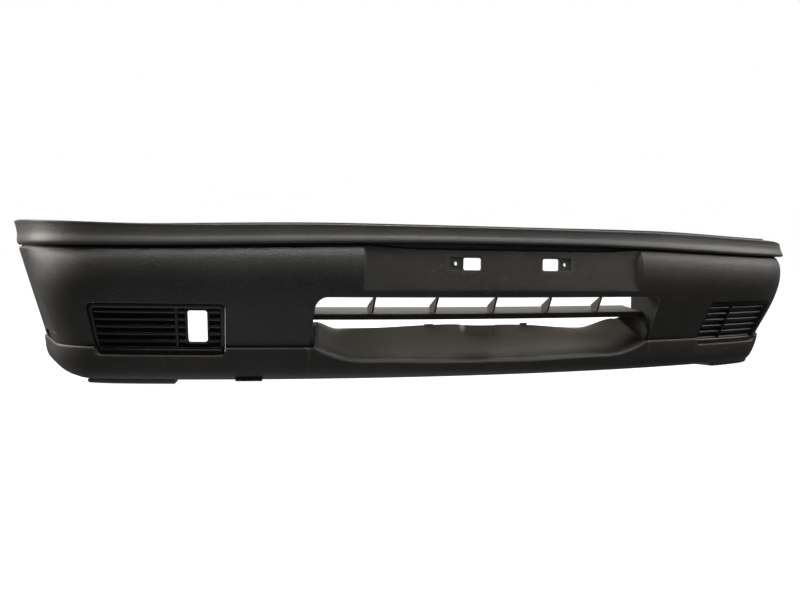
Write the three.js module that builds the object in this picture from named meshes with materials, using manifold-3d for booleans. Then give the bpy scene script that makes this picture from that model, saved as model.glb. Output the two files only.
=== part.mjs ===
// Front bumper cover: a moulded skin, a rub moulding, a lower valance with an air scoop, side grille
// inserts, an intake blade on struts, and the brackets and fasteners behind them.
// Millimetres, +Z up, the front faces -Y, X = 0 is the plane of symmetry.
import * as THREE from 'three';
import { mergeVertices } from 'three/addons/utils/BufferGeometryUtils.js';
import Module from 'manifold-3d';

const wasm = await Module();
wasm.setup();

// ---- driving dimensions ----
const GAP = 0.3;                 // clearance between touching pieces
const WALL = 3;                  // moulded wall thickness

// plan view of the outer face: a gentle arc, a tight corner, then a nearly straight wing
const FRONT_RADIUS = 2250;
const FRONT_ARC = 746;           // arc length from the middle to where the corner starts
const CORNER_RADIUS = 136;
const WING_HEADING = 1.525;      // direction of the wing, radians from the X axis
const CORNER_BLEND = 35;         // softens the change of curvature
const WING_END = 1131;           // arc length at the rear edge of the wing

// heights above the floor
const SEAM_Z = 67;               // joint between the skin and the valance
const TAB_TOP_Z = 88;            // top of the valance's upstand behind the skin
const TAB_LEAN = 0.46;           // how far the upstand leans outward, radians
const BAND_BOTTOM_Z = 8;
const GROOVE_Z = 253;            // lower edge of the groove, in the middle
const GROOVE_DROP = 13;          // how much the groove falls towards the corners
const STRIP_TOP_Z = 284;         // top of the rub moulding, in the middle
const STRIP_DROP = 8;
const FLANGE_Z = 275;            // top flange, in the middle
const FLANGE_DROP = 6;
const UPSTAND_TOP_Z = 287;       // top of the rail behind the rub moulding
const STUD_TOP_Z = 291;

// outer face of the skin: [height, distance in front of the plan curve]
const SKIN_PROFILE = [[67, -49], [110, -28], [150, -9.5], [185, 3], [212, 7.2], [232, 5.5], [244, 0]];
const SHOULDER = 4;              // the profile's top point lies this far below the groove
const GROOVE_DEPTH = -12;        // floor of the groove, behind the plan curve
const FLANGE_REAR = -46;         // rear edge of the top flange

// front intake
const OPENING_HALF = 360;
const OPENING_TOP_Z = 158;
const OPENING_CORNER = 20;
const INTAKE_REAR_Y = 140;       // rear edge of the side walls, behind the front of the cover
const LEDGE_REAR = -62;

// number plate recess
const RECESS_HALF = 290;
const RECESS_BOTTOM_Z = 177;
const RECESS_TOP_Z = 243;        // the floor ends here, in the middle, and turns back under the moulding
const RECESS_TOP_RISE = 5;
const RECESS_FLOOR = -4;
const RECESS_SLANT = 7;
const RECESS_FLARE = 18;         // the end walls lean outward by this much over RECESS_REACH
const RECESS_REACH = 30;
const PLATE_HOLE = { inner: 64, outer: 99, low: 208, high: 230 };
const PLATE_SCREW = { x: 113, z: 219.5, radius: 3.4, pocket: 22, depth: 1.6 };

// side grilles, as arc length and height
const GRILLE = { inner: 520, outer: 760, low: 53, high: 145, divider: 604, pocket: 16, corner: 10, collar: 15 };
const GRILLE_WINDOW = { from: 551, to: 585, low: 77, high: 133 };
const SLAT_HEIGHTS = [139, 125, 111, 97, 83, 69];

// intake blade and its struts
const BLADE = { front: -68, rear: -140, frontZ: 120, rearZ: 134, nose: 6, tail: 3 };
const STRUT_PITCH = 120;
const STRUT_THICKNESS = 4;

// air scoop in the valance
const SCOOP_LIP_Z = 40;
const SCOOP_REAR_Z = 99;
const SCOOP_REAR_HALF = 313;
const SCOOP_REAR_Y = 139;
const SCOOP_NOTCH = { from: -32, to: 34, depth: 14 };
const SCOOP_SLOT_X = 104;

// steel angles behind the wings
const BRACKET = { from: 900, to: 1120, low: 243, high: 262, foot: 38, steel: 2.5 };

// ---- colours, roughness and metalness ----
const finish = (color, roughness, metalness) => ({ color, roughness, metalness });
const GRAINED = finish(0x34302c, 0.62, 0);
const MOULDING = finish(0x3a3632, 0.5, 0);
const VALANCE = finish(0x37332d, 0.6, 0);
const GLOSS_BLACK = finish(0x0d0d0e, 0.3, 0);
const INTAKE_BLACK = finish(0x24211e, 0.5, 0);
const ZINC = finish(0x9a9a96, 0.4, 0.9);
const NYLON = finish(0x16171a, 0.5, 0);

// ---- small helpers ----
const clamp = (t, low, high) => Math.min(Math.max(t, low), high);
const smooth = (from, to, value) => {
  const t = clamp((value - from) / (to - from), 0, 1);
  return t * t * (3 - 2 * t);
};
const steps = (from, to, count) => Array.from({ length: count + 1 }, (_, i) => from + (to - from) * i / count);
const softplus = t => Math.log1p(Math.exp(-Math.abs(t))) + Math.max(t, 0);

// heading of the plan curve at arc length s: the integral of its curvature
function heading(s) {
  const cornerEnd = FRONT_ARC + CORNER_RADIUS * (WING_HEADING - FRONT_ARC / FRONT_RADIUS);
  const ramp = at => CORNER_BLEND * (softplus((s - at) / CORNER_BLEND) - softplus(-at / CORNER_BLEND));
  return (s - ramp(FRONT_ARC)) / FRONT_RADIUS + (ramp(FRONT_ARC) - ramp(cornerEnd)) / CORNER_RADIUS;
}

// plan points every few millimetres of arc length, joined by straight steps
const PLAN_STEP = 2;
const PLAN = [[0, 0]];
for (let i = 1; i * PLAN_STEP < WING_END + 60; i += 1) {
  const h = heading((i - 0.5) * PLAN_STEP);
  const [x, y] = PLAN[i - 1];
  PLAN.push([x + PLAN_STEP * Math.cos(h), y + PLAN_STEP * Math.sin(h)]);
}

// a place on the cover: arc length s (negative on the -X side), distance d in front of the plan curve, height z
function place(s, d, z) {
  const a = Math.abs(s);
  const i = Math.min(Math.floor(a / PLAN_STEP), PLAN.length - 2);
  const f = a / PLAN_STEP - i;
  const h = heading(a);
  const x = PLAN[i][0] + f * (PLAN[i + 1][0] - PLAN[i][0]) + d * Math.sin(h);
  const y = PLAN[i][1] + f * (PLAN[i + 1][1] - PLAN[i][1]) - d * Math.cos(h);
  return new THREE.Vector3(Math.sign(s) * x, y, z);
}

// outer face of the skin at height z, a smooth curve through the profile points
function skinOffset(z) {
  const p = SKIN_PROFILE;
  const h = clamp(z, p[0][0] - 20, p[p.length - 1][0]);
  let i = 0;
  while (i < p.length - 2 && h > p[i + 1][0]) i += 1;
  const slope = k => {
    const a = p[Math.max(k - 1, 0)];
    const b = p[Math.min(k + 1, p.length - 1)];
    return (b[1] - a[1]) / (b[0] - a[0]);
  };
  const width = p[i + 1][0] - p[i][0];
  const t = (h - p[i][0]) / width;
  const rise = p[i + 1][1] - p[i][1];
  const bend = (slope(i) * width - rise) * (1 - t) - (slope(i + 1) * width - rise) * t;
  return p[i][1] + rise * t + t * (1 - t) * bend;
}

const grooveHeight = s => GROOVE_Z - GROOVE_DROP * smooth(100, 780, Math.abs(s));
const topDrop = s => smooth(300, 750, Math.abs(s));
const flangeHeight = s => FLANGE_Z - FLANGE_DROP * topDrop(s);
const recessTop = s => RECESS_TOP_Z + RECESS_TOP_RISE * smooth(180, RECESS_HALF, Math.abs(s));

// arc lengths for a sweep: wide steps on the front arc, close ones round the corner
function stations(from, to) {
  const list = [from, to];
  const half = [...steps(0, 640, 9), ...steps(670, 940, 11), ...steps(980, WING_END, 4)];
  for (const s of half) {
    for (const side of [-s, s]) {
      const clear = list.every(other => Math.abs(other - side) > 6);
      if (side > from && side < to && clear) list.push(side);
    }
  }
  return list.sort((a, b) => a - b);
}

// ---- closed meshes ----
function closedMesh(points, triangles) {
  let volume = 0;
  for (const [a, b, c] of triangles) {
    volume += points[a].dot(new THREE.Vector3().crossVectors(points[b], points[c])) / 6;
  }
  const index = triangles.flatMap(t => (volume < 0 ? [t[0], t[2], t[1]] : t));
  const geometry = new THREE.BufferGeometry();
  geometry.setAttribute('position', new THREE.Float32BufferAttribute(points.flatMap(p => p.toArray()), 3));
  geometry.setIndex(index);
  return geometry;
}

// faces between each ring and the next, one ring after another
function ringSides(rings, closed) {
  const count = rings[0].length;
  const triangles = [];
  for (let r = 0; r < rings.length - (closed ? 0 : 1); r += 1) {
    const next = (r + 1) % rings.length;
    for (let i = 0; i < count; i += 1) {
      const j = (i + 1) % count;
      const [a, b, c, d] = [r * count + i, r * count + j, next * count + j, next * count + i];
      triangles.push([a, b, c], [a, c, d]);
    }
  }
  return triangles;
}

// rings of equal length joined round a loop, such as a frame
const loopLoft = rings => closedMesh(rings.flat(), ringSides(rings, true));

// rings of equal length joined into a tube, its two ends closed flat
function loft(rings) {
  const count = rings[0].length;
  const triangles = ringSides(rings, false);
  for (const r of [0, rings.length - 1]) {
    const flat = flatten(rings[r]);
    for (const t of THREE.ShapeUtils.triangulateShape(flat, [])) {
      const face = t.map(i => i + r * count);
      triangles.push(r === 0 ? face.reverse() : face);
    }
  }
  return closedMesh(rings.flat(), orient(triangles, rings, count));
}

// a ring's points in its own plane
function flatten(ring) {
  const centre = ring.reduce((sum, p) => sum.add(p), new THREE.Vector3()).divideScalar(ring.length);
  const normal = new THREE.Vector3();
  ring.forEach((p, i) => {
    const q = ring[(i + 1) % ring.length];
    normal.add(new THREE.Vector3().crossVectors(p.clone().sub(centre), q.clone().sub(centre)));
  });
  normal.normalize();
  const u = ring[1].clone().sub(ring[0]).normalize();
  const v = new THREE.Vector3().crossVectors(normal, u);
  return ring.map(p => new THREE.Vector2(p.clone().sub(centre).dot(u), p.clone().sub(centre).dot(v)));
}

// end faces wound against the sides they share edges with
function orient(triangles, rings, count) {
  const edges = new Set();
  const sides = triangles.filter(t => new Set(t.map(i => Math.floor(i / count))).size > 1);
  sides.forEach(t => t.forEach((a, i) => edges.add(`${a}:${t[(i + 1) % 3]}`)));
  const caps = triangles.filter(t => new Set(t.map(i => Math.floor(i / count))).size === 1);
  const result = [...sides];
  for (const r of [0, rings.length - 1]) {
    const cap = caps.filter(t => Math.floor(t[0] / count) === r);
    const clash = cap.some(t => t.some((a, i) => edges.has(`${a}:${t[(i + 1) % 3]}`)));
    result.push(...(clash ? cap.map(t => [t[0], t[2], t[1]]) : cap));
  }
  return result;
}

// a section, [d, z] points given for each arc length, swept along the cover
const sweep = (from, to, section) =>
  loft(stations(from, to).map(s => section(s).map(([d, z]) => place(s, d, z))));

// an outline of [s, depth behind the skin, z] points carried through the skin's thickness
function prismOnSkin(outline, outside, inside) {
  const at = depth => outline.map(([s, z]) => place(s, skinOffset(z) - depth, z));
  return loft([at(-outside), at(inside)]);
}

// a bar that follows the skin: rectangle of depths and heights between two arc lengths
function skinBar(from, to, shallow, deep, low, high) {
  const count = Math.max(2, Math.round((to - from) / 30));
  const corners = [[shallow, low], [deep, low], [deep, high], [shallow, high]];
  const rings = steps(from, to, count).map(s => corners.map(([depth, z]) => place(s, skinOffset(z) - depth, z)));
  return loft(rings);
}

// a straight plate: an outline in the [y, z] plane, given a thickness across X
function plateAcross(outline, x, thickness) {
  const ring = side => outline.map(([y, z]) => new THREE.Vector3(x + side * thickness / 2, y, z));
  return loft([ring(-1), ring(1)]);
}

function box(x0, x1, y0, y1, z0, z1) {
  const geometry = new THREE.BoxGeometry(x1 - x0, y1 - y0, z1 - z0);
  return geometry.translate((x0 + x1) / 2, (y0 + y1) / 2, (z0 + z1) / 2);
}

// everything up to a height
const lowBox = height => box(-900, 900, -100, 500, -10, height);

// a turned piece: [radius, height] profile on the axis at both ends, axis turned to point along a direction
function turned(profile, segments, at, axis) {
  const geometry = new THREE.LatheGeometry(profile.map(([r, h]) => new THREE.Vector2(r, h)), segments);
  const turn = new THREE.Quaternion().setFromUnitVectors(new THREE.Vector3(0, 1, 0), axis.clone().normalize());
  return geometry.applyQuaternion(turn).translate(at.x, at.y, at.z);
}

// ---- booleans ----
function solid(geometry) {
  const bare = geometry.clone();
  bare.deleteAttribute('normal');
  bare.deleteAttribute('uv');
  const merged = mergeVertices(bare, 1e-4);
  const vertProperties = new Float32Array(merged.attributes.position.array);
  const triVerts = new Uint32Array(merged.index.array);
  return new wasm.Manifold(new wasm.Mesh({ numProp: 3, vertProperties, triVerts }));
}

function geometryOf(manifold) {
  const { vertProperties, triVerts } = manifold.getMesh();
  const geometry = new THREE.BufferGeometry();
  geometry.setAttribute('position', new THREE.BufferAttribute(new Float32Array(vertProperties), 3));
  geometry.setIndex(new THREE.BufferAttribute(new Uint32Array(triVerts), 1));
  return geometry;
}

const joined = (first, ...rest) => rest.reduce((sum, g) => sum.add(solid(g)), solid(first));
const cutBy = (base, ...tools) => tools.reduce((left, g) => left.subtract(solid(g)), base);

// ---- the group ----
const bumper = new THREE.Group();

function add(name, shape, { color, roughness, metalness }) {
  const geometry = shape.isBufferGeometry ? shape : geometryOf(shape);
  geometry.computeVertexNormals();
  const mesh = new THREE.Mesh(geometry, new THREE.MeshStandardMaterial({ color, roughness, metalness }));
  mesh.name = name;
  bumper.add(mesh);
}

// ---- skin ----

// the moulded wall from the seam up to the groove, then up behind the rub moulding and back along the top
function skinSection(s) {
  const profileTop = SKIN_PROFILE[SKIN_PROFILE.length - 1][0];
  const lift = grooveHeight(s) - SHOULDER - profileTop;
  const outer = SKIN_PROFILE.map(([z]) => [skinOffset(z), z + lift * smooth(SEAM_Z, profileTop + SHOULDER, z)]);
  outer[0] = [skinOffset(SEAM_Z), SEAM_Z + GAP];
  const top = flangeHeight(s);
  outer.push([GROOVE_DEPTH, grooveHeight(s) + 1], [GROOVE_DEPTH, top], [FLANGE_REAR, top + 1]);
  const inner = outer.slice(0, -1).map(([d, z]) => [d - WALL, z]);
  inner[inner.length - 1] = [GROOVE_DEPTH - WALL, top - WALL];
  inner[inner.length - 2] = [GROOVE_DEPTH - WALL, grooveHeight(s) - SHOULDER];
  inner.push([FLANGE_REAR, top - WALL + 1]);
  return [...outer, ...inner.reverse()];
}

// rounded outline of the intake, in X and Z, carried along Y
function openingTool(half, y0, y1) {
  const shape = new THREE.Shape();
  shape.moveTo(-half, SEAM_Z - 6);
  shape.lineTo(half, SEAM_Z - 6);
  shape.lineTo(half, OPENING_TOP_Z - OPENING_CORNER);
  shape.absarc(half - OPENING_CORNER, OPENING_TOP_Z - OPENING_CORNER, OPENING_CORNER, 0, Math.PI / 2, false);
  shape.absarc(-half + OPENING_CORNER, OPENING_TOP_Z - OPENING_CORNER, OPENING_CORNER, Math.PI / 2, Math.PI, false);
  const geometry = new THREE.ExtrudeGeometry(shape, { depth: y1 - y0, bevelEnabled: false, curveSegments: 6 });
  return geometry.rotateX(Math.PI / 2).translate(0, y1, 0);
}

// the plate recess: its floor follows the plan curve and turns back into the groove, its ends are slanted
function recessTool() {
  const high = GROOVE_Z + 10;
  const rings = steps(-1, 1, 16).map(t => {
    const near = t * (RECESS_HALF - RECESS_SLANT);
    const far = t * (RECESS_HALF + RECESS_FLARE);
    const edge = recessTop(near);
    return [place(near, RECESS_FLOOR, RECESS_BOTTOM_Z), place(far, RECESS_REACH, RECESS_BOTTOM_Z),
      place(far, RECESS_REACH, high), place(near, GROOVE_DEPTH, high),
      place(near, GROOVE_DEPTH, edge + SHOULDER), place(near, RECESS_FLOOR, edge)];
  });
  return loft(rings);
}

// side walls and ledge round the intake, behind the skin
function intakeTunnel() {
  const half = OPENING_HALF + WALL;
  const frontAt = (x, z) => place(x, skinOffset(z) - 1, z).y;
  const walls = [-1, 1].map(side => {
    const outline = [[INTAKE_REAR_Y, SEAM_Z + GAP], [INTAKE_REAR_Y, OPENING_TOP_Z + WALL]];
    for (const z of [OPENING_TOP_Z + WALL, 130, 100, SEAM_Z + GAP]) outline.push([frontAt(half - 1, z), z]);
    return plateAcross(outline, side * (half - WALL / 2), WALL);
  });
  const ledge = loft(steps(-half, half, 14).map(s => {
    const low = OPENING_TOP_Z;
    const high = OPENING_TOP_Z + WALL;
    return [[skinOffset(low) - 1, low], [LEDGE_REAR, low], [LEDGE_REAR, high], [skinOffset(high) - 1, high]]
      .map(([d, z]) => place(s, d, z));
  }));
  return [...walls, ledge];
}

function grilleOutline(side, grow) {
  const { inner, outer, low, high, corner } = GRILLE;
  const shape = new THREE.Shape();
  const x0 = inner - grow;
  const x1 = outer + grow;
  const y0 = low - grow;
  const y1 = high + grow;
  shape.moveTo(x0 + corner, y0);
  shape.lineTo(x1 - corner, y0);
  shape.quadraticCurveTo(x1, y0, x1, y0 + corner);
  shape.lineTo(x1, y1 - corner);
  shape.quadraticCurveTo(x1, y1, x1 - corner, y1);
  shape.lineTo(x0 + corner, y1);
  shape.quadraticCurveTo(x0, y1, x0, y1 - corner);
  shape.lineTo(x0, y0 + corner);
  shape.quadraticCurveTo(x0, y0, x0 + corner, y0);
  return shape.getPoints(4).slice(0, -1).map(p => [side * p.x, p.y]);
}

// the outline with extra points on its long sides, so that it bends with the skin
function bentOutline(side, grow) {
  const corners = grilleOutline(side, grow);
  const plain = grilleOutline(side, 0);
  return corners.flatMap((p, i) => {
    const next = (i + 1) % corners.length;
    const q = corners[next];
    const span = Math.hypot(plain[next][0] - plain[i][0], plain[next][1] - plain[i][1]);
    const count = Math.max(1, Math.round(span / 40));
    return steps(0, 1, count).slice(0, -1).map(t => [p[0] + t * (q[0] - p[0]), p[1] + t * (q[1] - p[1])]);
  });
}

function mainFascia() {
  const wall = sweep(-WING_END, WING_END, skinSection);
  const [wallLeft, wallRight, ledge] = intakeTunnel();
  const tray = recessBox();
  let skin = joined(wall, wallLeft, wallRight, ledge).add(tray);
  skin = cutBy(skin, recessTool(), openingTool(OPENING_HALF, -60, INTAKE_REAR_Y + 20));
  for (const side of [-1, 1]) {
    const { inner, outer, low, high } = PLATE_HOLE;
    const xs = side < 0 ? [-outer, -inner] : [inner, outer];
    const pocketX = side * (PLATE_SCREW.x + 4);
    const reach = PLATE_SCREW.pocket / 2;
    const face = place(PLATE_SCREW.x, RECESS_FLOOR, 0).y;
    const pocket = box(pocketX - reach, pocketX + reach, -40, face + PLATE_SCREW.depth, low - 1, high + 1);
    const screw = turned([[0, -30], [PLATE_SCREW.radius, -30], [PLATE_SCREW.radius, 30], [0, 30]], 14,
      new THREE.Vector3(side * PLATE_SCREW.x, face, PLATE_SCREW.z), new THREE.Vector3(0, 1, 0));
    const grille = prismOnSkin(bentOutline(side, GAP), 30, 40);
    skin = skin.add(cutBy(grilleCollar(side, -1), lowBox(SEAM_Z + GAP)));
    skin = cutBy(skin, box(xs[0], xs[1], -40, 40, low, high), pocket, screw, grille);
  }
  return skin;
}

// the recess floor and walls, as a slab behind the skin's outer face
function recessBox() {
  const rings = steps(-1, 1, 16).map(t => {
    const s = t * (RECESS_HALF + WALL);
    const back = RECESS_FLOOR - WALL;
    const low = RECESS_BOTTOM_Z - WALL;
    const inFace = z => [skinOffset(z) - 0.4, z];
    const turn = recessTop(s);
    return [[back, low], [back, turn - WALL], [GROOVE_DEPTH - WALL, turn + 2], [GROOVE_DEPTH - WALL, GROOVE_Z - 1],
      [RECESS_FLOOR, GROOVE_Z - 6], inFace(240), inFace(212), inFace(low)].map(([d, z]) => place(s, d, z));
  });
  return solid(loft(rings));
}

// ---- rub moulding and the rail behind it ----
function stripSection(s) {
  const low = grooveHeight(s) + 2.5;
  const top = STRIP_TOP_Z - STRIP_DROP * topDrop(s);
  const back = GROOVE_DEPTH + GAP;
  const up = share => low + share * (top - low);
  return [[back, low], [2, low], [4.5, low + 3], [6, up(0.36)], [5.5, up(0.63)], [3.5, up(0.82)],
    [3.6, top - 3], [1.5, top], [back, top]];
}

function railSection(s) {
  const base = flangeHeight(s) + 1 + GAP;
  return [[FLANGE_REAR + 1, base], [FLANGE_REAR + 20, base], [FLANGE_REAR + 20, base + 2],
    [FLANGE_REAR + 9, base + 2], [FLANGE_REAR + 9, UPSTAND_TOP_Z], [FLANGE_REAR + 7, UPSTAND_TOP_Z],
    [FLANGE_REAR + 7, base + 2], [FLANGE_REAR + 1, base + 2]];
}

// ---- valance ----
const lipHeight = x => SCOOP_LIP_Z + (SEAM_Z - SCOOP_LIP_Z) * clamp((Math.abs(x) - 215) / 145, 0, 1) ** 2;
const scoopRear = x => SCOOP_REAR_Z - 5 * smooth(60, 230, Math.abs(x)) + 13 * smooth(255, SCOOP_REAR_HALF, Math.abs(x));

function bandSection() {
  const outer = [[-56, SEAM_Z], [-44.5, SEAM_Z], [-42, SEAM_Z - 3], [-43.5, 48], [-50, 27], [-60, BAND_BOTTOM_Z + 2],
    [-64, BAND_BOTTOM_Z], [-82, BAND_BOTTOM_Z]];
  const inner = [[-82, BAND_BOTTOM_Z + WALL], [-65, BAND_BOTTOM_Z + WALL], [-53.5, 27], [-47, 47],
    [-46, SEAM_Z - WALL - 2], [-56, SEAM_Z - WALL]];
  const [[z0, d0], [z1, d1]] = SKIN_PROFILE;
  const behindSkin = z => d0 + (d1 - d0) * (z - z0) / (z1 - z0) - WALL - GAP;
  const upstand = [[behindSkin(TAB_TOP_Z) - 2, TAB_TOP_Z], [behindSkin(TAB_TOP_Z), TAB_TOP_Z],
    [behindSkin(SEAM_Z) - GAP, SEAM_Z]];
  return [...upstand, ...outer.slice(1), ...inner];
}

// the band filled in behind, which trims the collars round the side grilles
function bandFilled() {
  return [[-130, SEAM_Z], ...bandSection().slice(3, 9), [-130, BAND_BOTTOM_Z]];
}

// collar round a side grille, from in front of the skin to behind it
function grilleCollar(side, outside) {
  const edge = bentOutline(side, WALL + GAP);
  const mouth = bentOutline(side, -2);
  return solid(loopLoft(edge.map(([s, z], i) => {
    const [t, h] = mouth[i];
    return [[s, -outside, z], [s, GRILLE.collar, z], [t, GRILLE.collar, h], [t, -outside, h]]
      .map(([along, depth, height]) => place(along, skinOffset(height) - depth, height));
  })));
}

// point on the scoop: u across from -1 to 1, v from the lip to the rear edge
function scoopPoint(u, v, drop) {
  const xFront = u * (OPENING_HALF - GAP - 1);
  const xRear = u * SCOOP_REAR_HALF;
  const front = place(xFront, -44, 0);
  const x = front.x + (xRear - front.x) * v;
  const y = front.y + (SCOOP_REAR_Y - front.y) * v;
  const z = lipHeight(xFront) + (scoopRear(xRear) - lipHeight(xFront)) * v ** 1.15;
  return new THREE.Vector3(x, y, z - drop);
}

function scoopShell() {
  const across = steps(-1, 1, 24);
  const along = [0, 0.12, 0.35, 0.65, 1];
  const rings = across.map(u => [
    ...along.map(v => scoopPoint(u, v, 0)),
    ...along.slice().reverse().map(v => scoopPoint(u, v, WALL)),
  ]);
  return loft(rings);
}

// everything above the scoop, out past the front of the band
function aboveScoop() {
  const across = steps(-1, 1, 24);
  const rings = across.map(u => {
    const lip = scoopPoint(u, 0, 0);
    const beyond = lip.clone().add(new THREE.Vector3(0, -40, 1));
    const floor = [0.12, 0.35, 0.65, 1].map(v => scoopPoint(u, v, 0));
    const rear = floor[3].clone().add(new THREE.Vector3(0, 40, 0));
    const ceiling = [rear, beyond].map(p => new THREE.Vector3(p.x, p.y, 120));
    return [beyond, lip, ...floor, rear, ...ceiling];
  });
  return loft(rings);
}

function lowerValance() {
  const band = sweep(-WING_END + 4, WING_END - 4, bandSection);
  let valance = cutBy(joined(band), aboveScoop()).add(solid(scoopShell()));
  for (const side of [-1, 1]) {
    const [from, to] = side < 0 ? [-790, -500] : [500, 790];
    const collar = grilleCollar(side, 16).intersect(solid(sweep(from, to, bandFilled)));
    const clear = cutBy(solid(prismOnSkin(bentOutline(side, WALL + 2 * GAP), 30, 40)), lowBox(SEAM_Z));
    valance = valance.subtract(clear);
    const wallX = side * (OPENING_HALF + WALL / 2);
    valance = cutBy(valance, box(wallX - 5, wallX + 5, 0, 200, SEAM_Z, 150));
    valance = cutBy(valance.add(collar), prismOnSkin(bentOutline(side, GAP), 30, 40));
    const slotX = side * SCOOP_SLOT_X;
    valance = cutBy(valance, box(slotX - 7, slotX + 7, SCOOP_REAR_Y - 14, SCOOP_REAR_Y - 8, 60, 130));
  }
  const { from, to, depth } = SCOOP_NOTCH;
  return cutBy(valance, box(from, to, SCOOP_REAR_Y - depth, SCOOP_REAR_Y + 20, 60, 130));
}

// pads that hang under the corners
function cornerExtension(side) {
  const section = [[-66, BAND_BOTTOM_Z - GAP], [-70, 0], [-122, 0], [-122, BAND_BOTTOM_Z - GAP]];
  const [from, to] = side < 0 ? [-800, -611] : [611, 800];
  return sweep(from, to, () => section);
}

// ---- side grille inserts ----
function sideGrille(side, hasWindow) {
  const { inner, outer, low, high, divider, pocket } = GRILLE;
  const bar = (from, to, shallow, deep, z0, z1) =>
    skinBar(Math.min(side * from, side * to), Math.max(side * from, side * to), shallow, deep, z0, z1);
  const rim = 9;
  const plate = bar(inner + 1, outer - 1, pocket - 2, pocket + 1, low + 1, high - 1);
  const parts = [
    bar(inner, outer, 3, pocket, high - 5, high),
    bar(inner, outer, 1, pocket, low, low + 12),
    bar(inner, inner + rim, 3, pocket, low, high),
    bar(outer - rim, outer, 3, pocket, low, high),
    bar(divider - 3, divider + 3, 4, pocket, low, high),
  ];
  for (const z of SLAT_HEIGHTS) parts.push(bar(inner + 2, outer - 2, 6, pocket, z - 5, z + 1.5));
  let body = joined(plate, ...parts);
  if (hasWindow) {
    const { from, to } = GRILLE_WINDOW;
    const bezel = bar(from - 4, to + 4, 4, pocket, GRILLE_WINDOW.low - 4, GRILLE_WINDOW.high + 4);
    body = body.add(solid(bezel));
    body = cutBy(body, bar(from, to, -20, pocket + 20, GRILLE_WINDOW.low, GRILLE_WINDOW.high));
  }
  const outline = prismOnSkin(bentOutline(side, -GAP), 30, 40);
  return body.intersect(solid(outline));
}

// ---- intake blade and struts ----
function intakeBlade() {
  const { front, rear, frontZ, rearZ, nose, tail } = BLADE;
  const section = [[front, frontZ - 1], [front - 2, frontZ], [rear, rearZ], [rear, rearZ - tail],
    [front - 12, frontZ - nose + 1], [front - 1, frontZ - nose]];
  const half = OPENING_HALF - 2;
  const body = loft(steps(-half - 12, half + 12, 16).map(s => section.map(([d, z]) => place(s, d, z))));
  return solid(body).intersect(solid(box(-half, half, -20, 260, 90, 150)));
}

function intakeStrut(x) {
  const y = d => place(x, d, 0).y;
  const slope = (BLADE.rearZ - BLADE.frontZ) / (BLADE.front - BLADE.rear);
  const onBlade = d => BLADE.frontZ + (BLADE.front - d) * slope + 0.6;
  const top = OPENING_TOP_Z - GAP;
  const outline = [[y(-54), top], [y(-58), top], [y(-92), 139], [y(-91), onBlade(-91)], [y(-70), onBlade(-70)]];
  return plateAcross(outline, x, STRUT_THICKNESS);
}

// ---- brackets and fasteners ----
const UP = new THREE.Vector3(0, 0, 1);

// direction into the cover, away from its outer face, at arc length s
function inward(s) {
  return place(s, -1, 0).sub(place(s, 0, 0)).normalize();
}

// steel angle behind the top of the wing: a web against the skin and a foot turned in
function sideBracket(side) {
  const { low, high, foot, steel } = BRACKET;
  const face = GROOVE_DEPTH - WALL - GAP;
  const angle = [[face, low], [face, high], [face - steel, high], [face - steel, low + steel],
    [face - foot, low + steel], [face - foot, low]];
  const [from, to] = side < 0 ? [-BRACKET.to, -BRACKET.from] : [BRACKET.from, BRACKET.to];
  return sweep(from, to, () => angle);
}

// fixing stud that stands on the top flange at the rear of the wing
function sideStud(side) {
  const at = place(side * (WING_END - 34), GROOVE_DEPTH - 17, flangeHeight(WING_END) + 1.2);
  const height = STUD_TOP_Z - at.z;
  return turned([[0, 0], [8, 0], [8, 1.8], [3, 1.8], [3, height - 1], [2, height], [0, height]], 16, at, UP);
}

// pan head screw standing on a surface
function panScrew(at, axis) {
  return turned([[0, 0], [4.6, 0], [4.6, 1], [3.4, 2.8], [0, 3.4]], 12, at, axis);
}

// push clip: a round flange with a domed middle
function pushClip(at, axis) {
  return turned([[0, 0], [9, 0], [9, 2], [5.5, 2.6], [5, 5], [0, 6]], 12, at, axis);
}

// nylon grommet that fills the plate screw hole and shows a collar in the pocket
function plateNut(side) {
  const face = place(PLATE_SCREW.x, RECESS_FLOOR, 0).y + PLATE_SCREW.depth;
  const at = new THREE.Vector3(side * (PLATE_SCREW.x), face - GAP, PLATE_SCREW.z);
  const inner = 2.2;
  const outer = PLATE_SCREW.radius - GAP;
  const profile = [[inner, -1.2], [6, -1.2], [6, 0], [outer, 0], [outer, 12], [inner, 12], [inner, -1.2]];
  return turned(profile, 14, at, new THREE.Vector3(0, 1, 0));
}

// folded spring nut over the rear edge of the scoop
function edgeNut(side) {
  const x = side * SCOOP_SLOT_X;
  const top = scoopRear(x) - 1;
  const outline = [[SCOOP_REAR_Y + 0.6, top - 9], [SCOOP_REAR_Y + 2.2, top - 9], [SCOOP_REAR_Y + 2.2, top + 5],
    [SCOOP_REAR_Y - 6, top + 5], [SCOOP_REAR_Y - 6, top + 3.4], [SCOOP_REAR_Y + 0.6, top + 3.4]];
  return plateAcross(outline, x, 16);
}

add('main_fascia', mainFascia(), GRAINED);
add('upper_strip', sweep(-WING_END, WING_END, stripSection), MOULDING);
add('top_rail', sweep(-790, 790, railSection), NYLON);
add('lower_valance', lowerValance(), VALANCE);
add('corner_extension_left', cornerExtension(-1), VALANCE);
add('corner_extension_right', cornerExtension(1), VALANCE);
add('side_grille_window', sideGrille(-1, true), GLOSS_BLACK);
add('side_grille_plain', sideGrille(1, false), GLOSS_BLACK);
add('intake_blade', intakeBlade(), INTAKE_BLACK);
for (let i = 0; i < 5; i += 1) add(`intake_strut_${i + 1}`, intakeStrut((i - 2) * STRUT_PITCH), INTAKE_BLACK);

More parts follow.
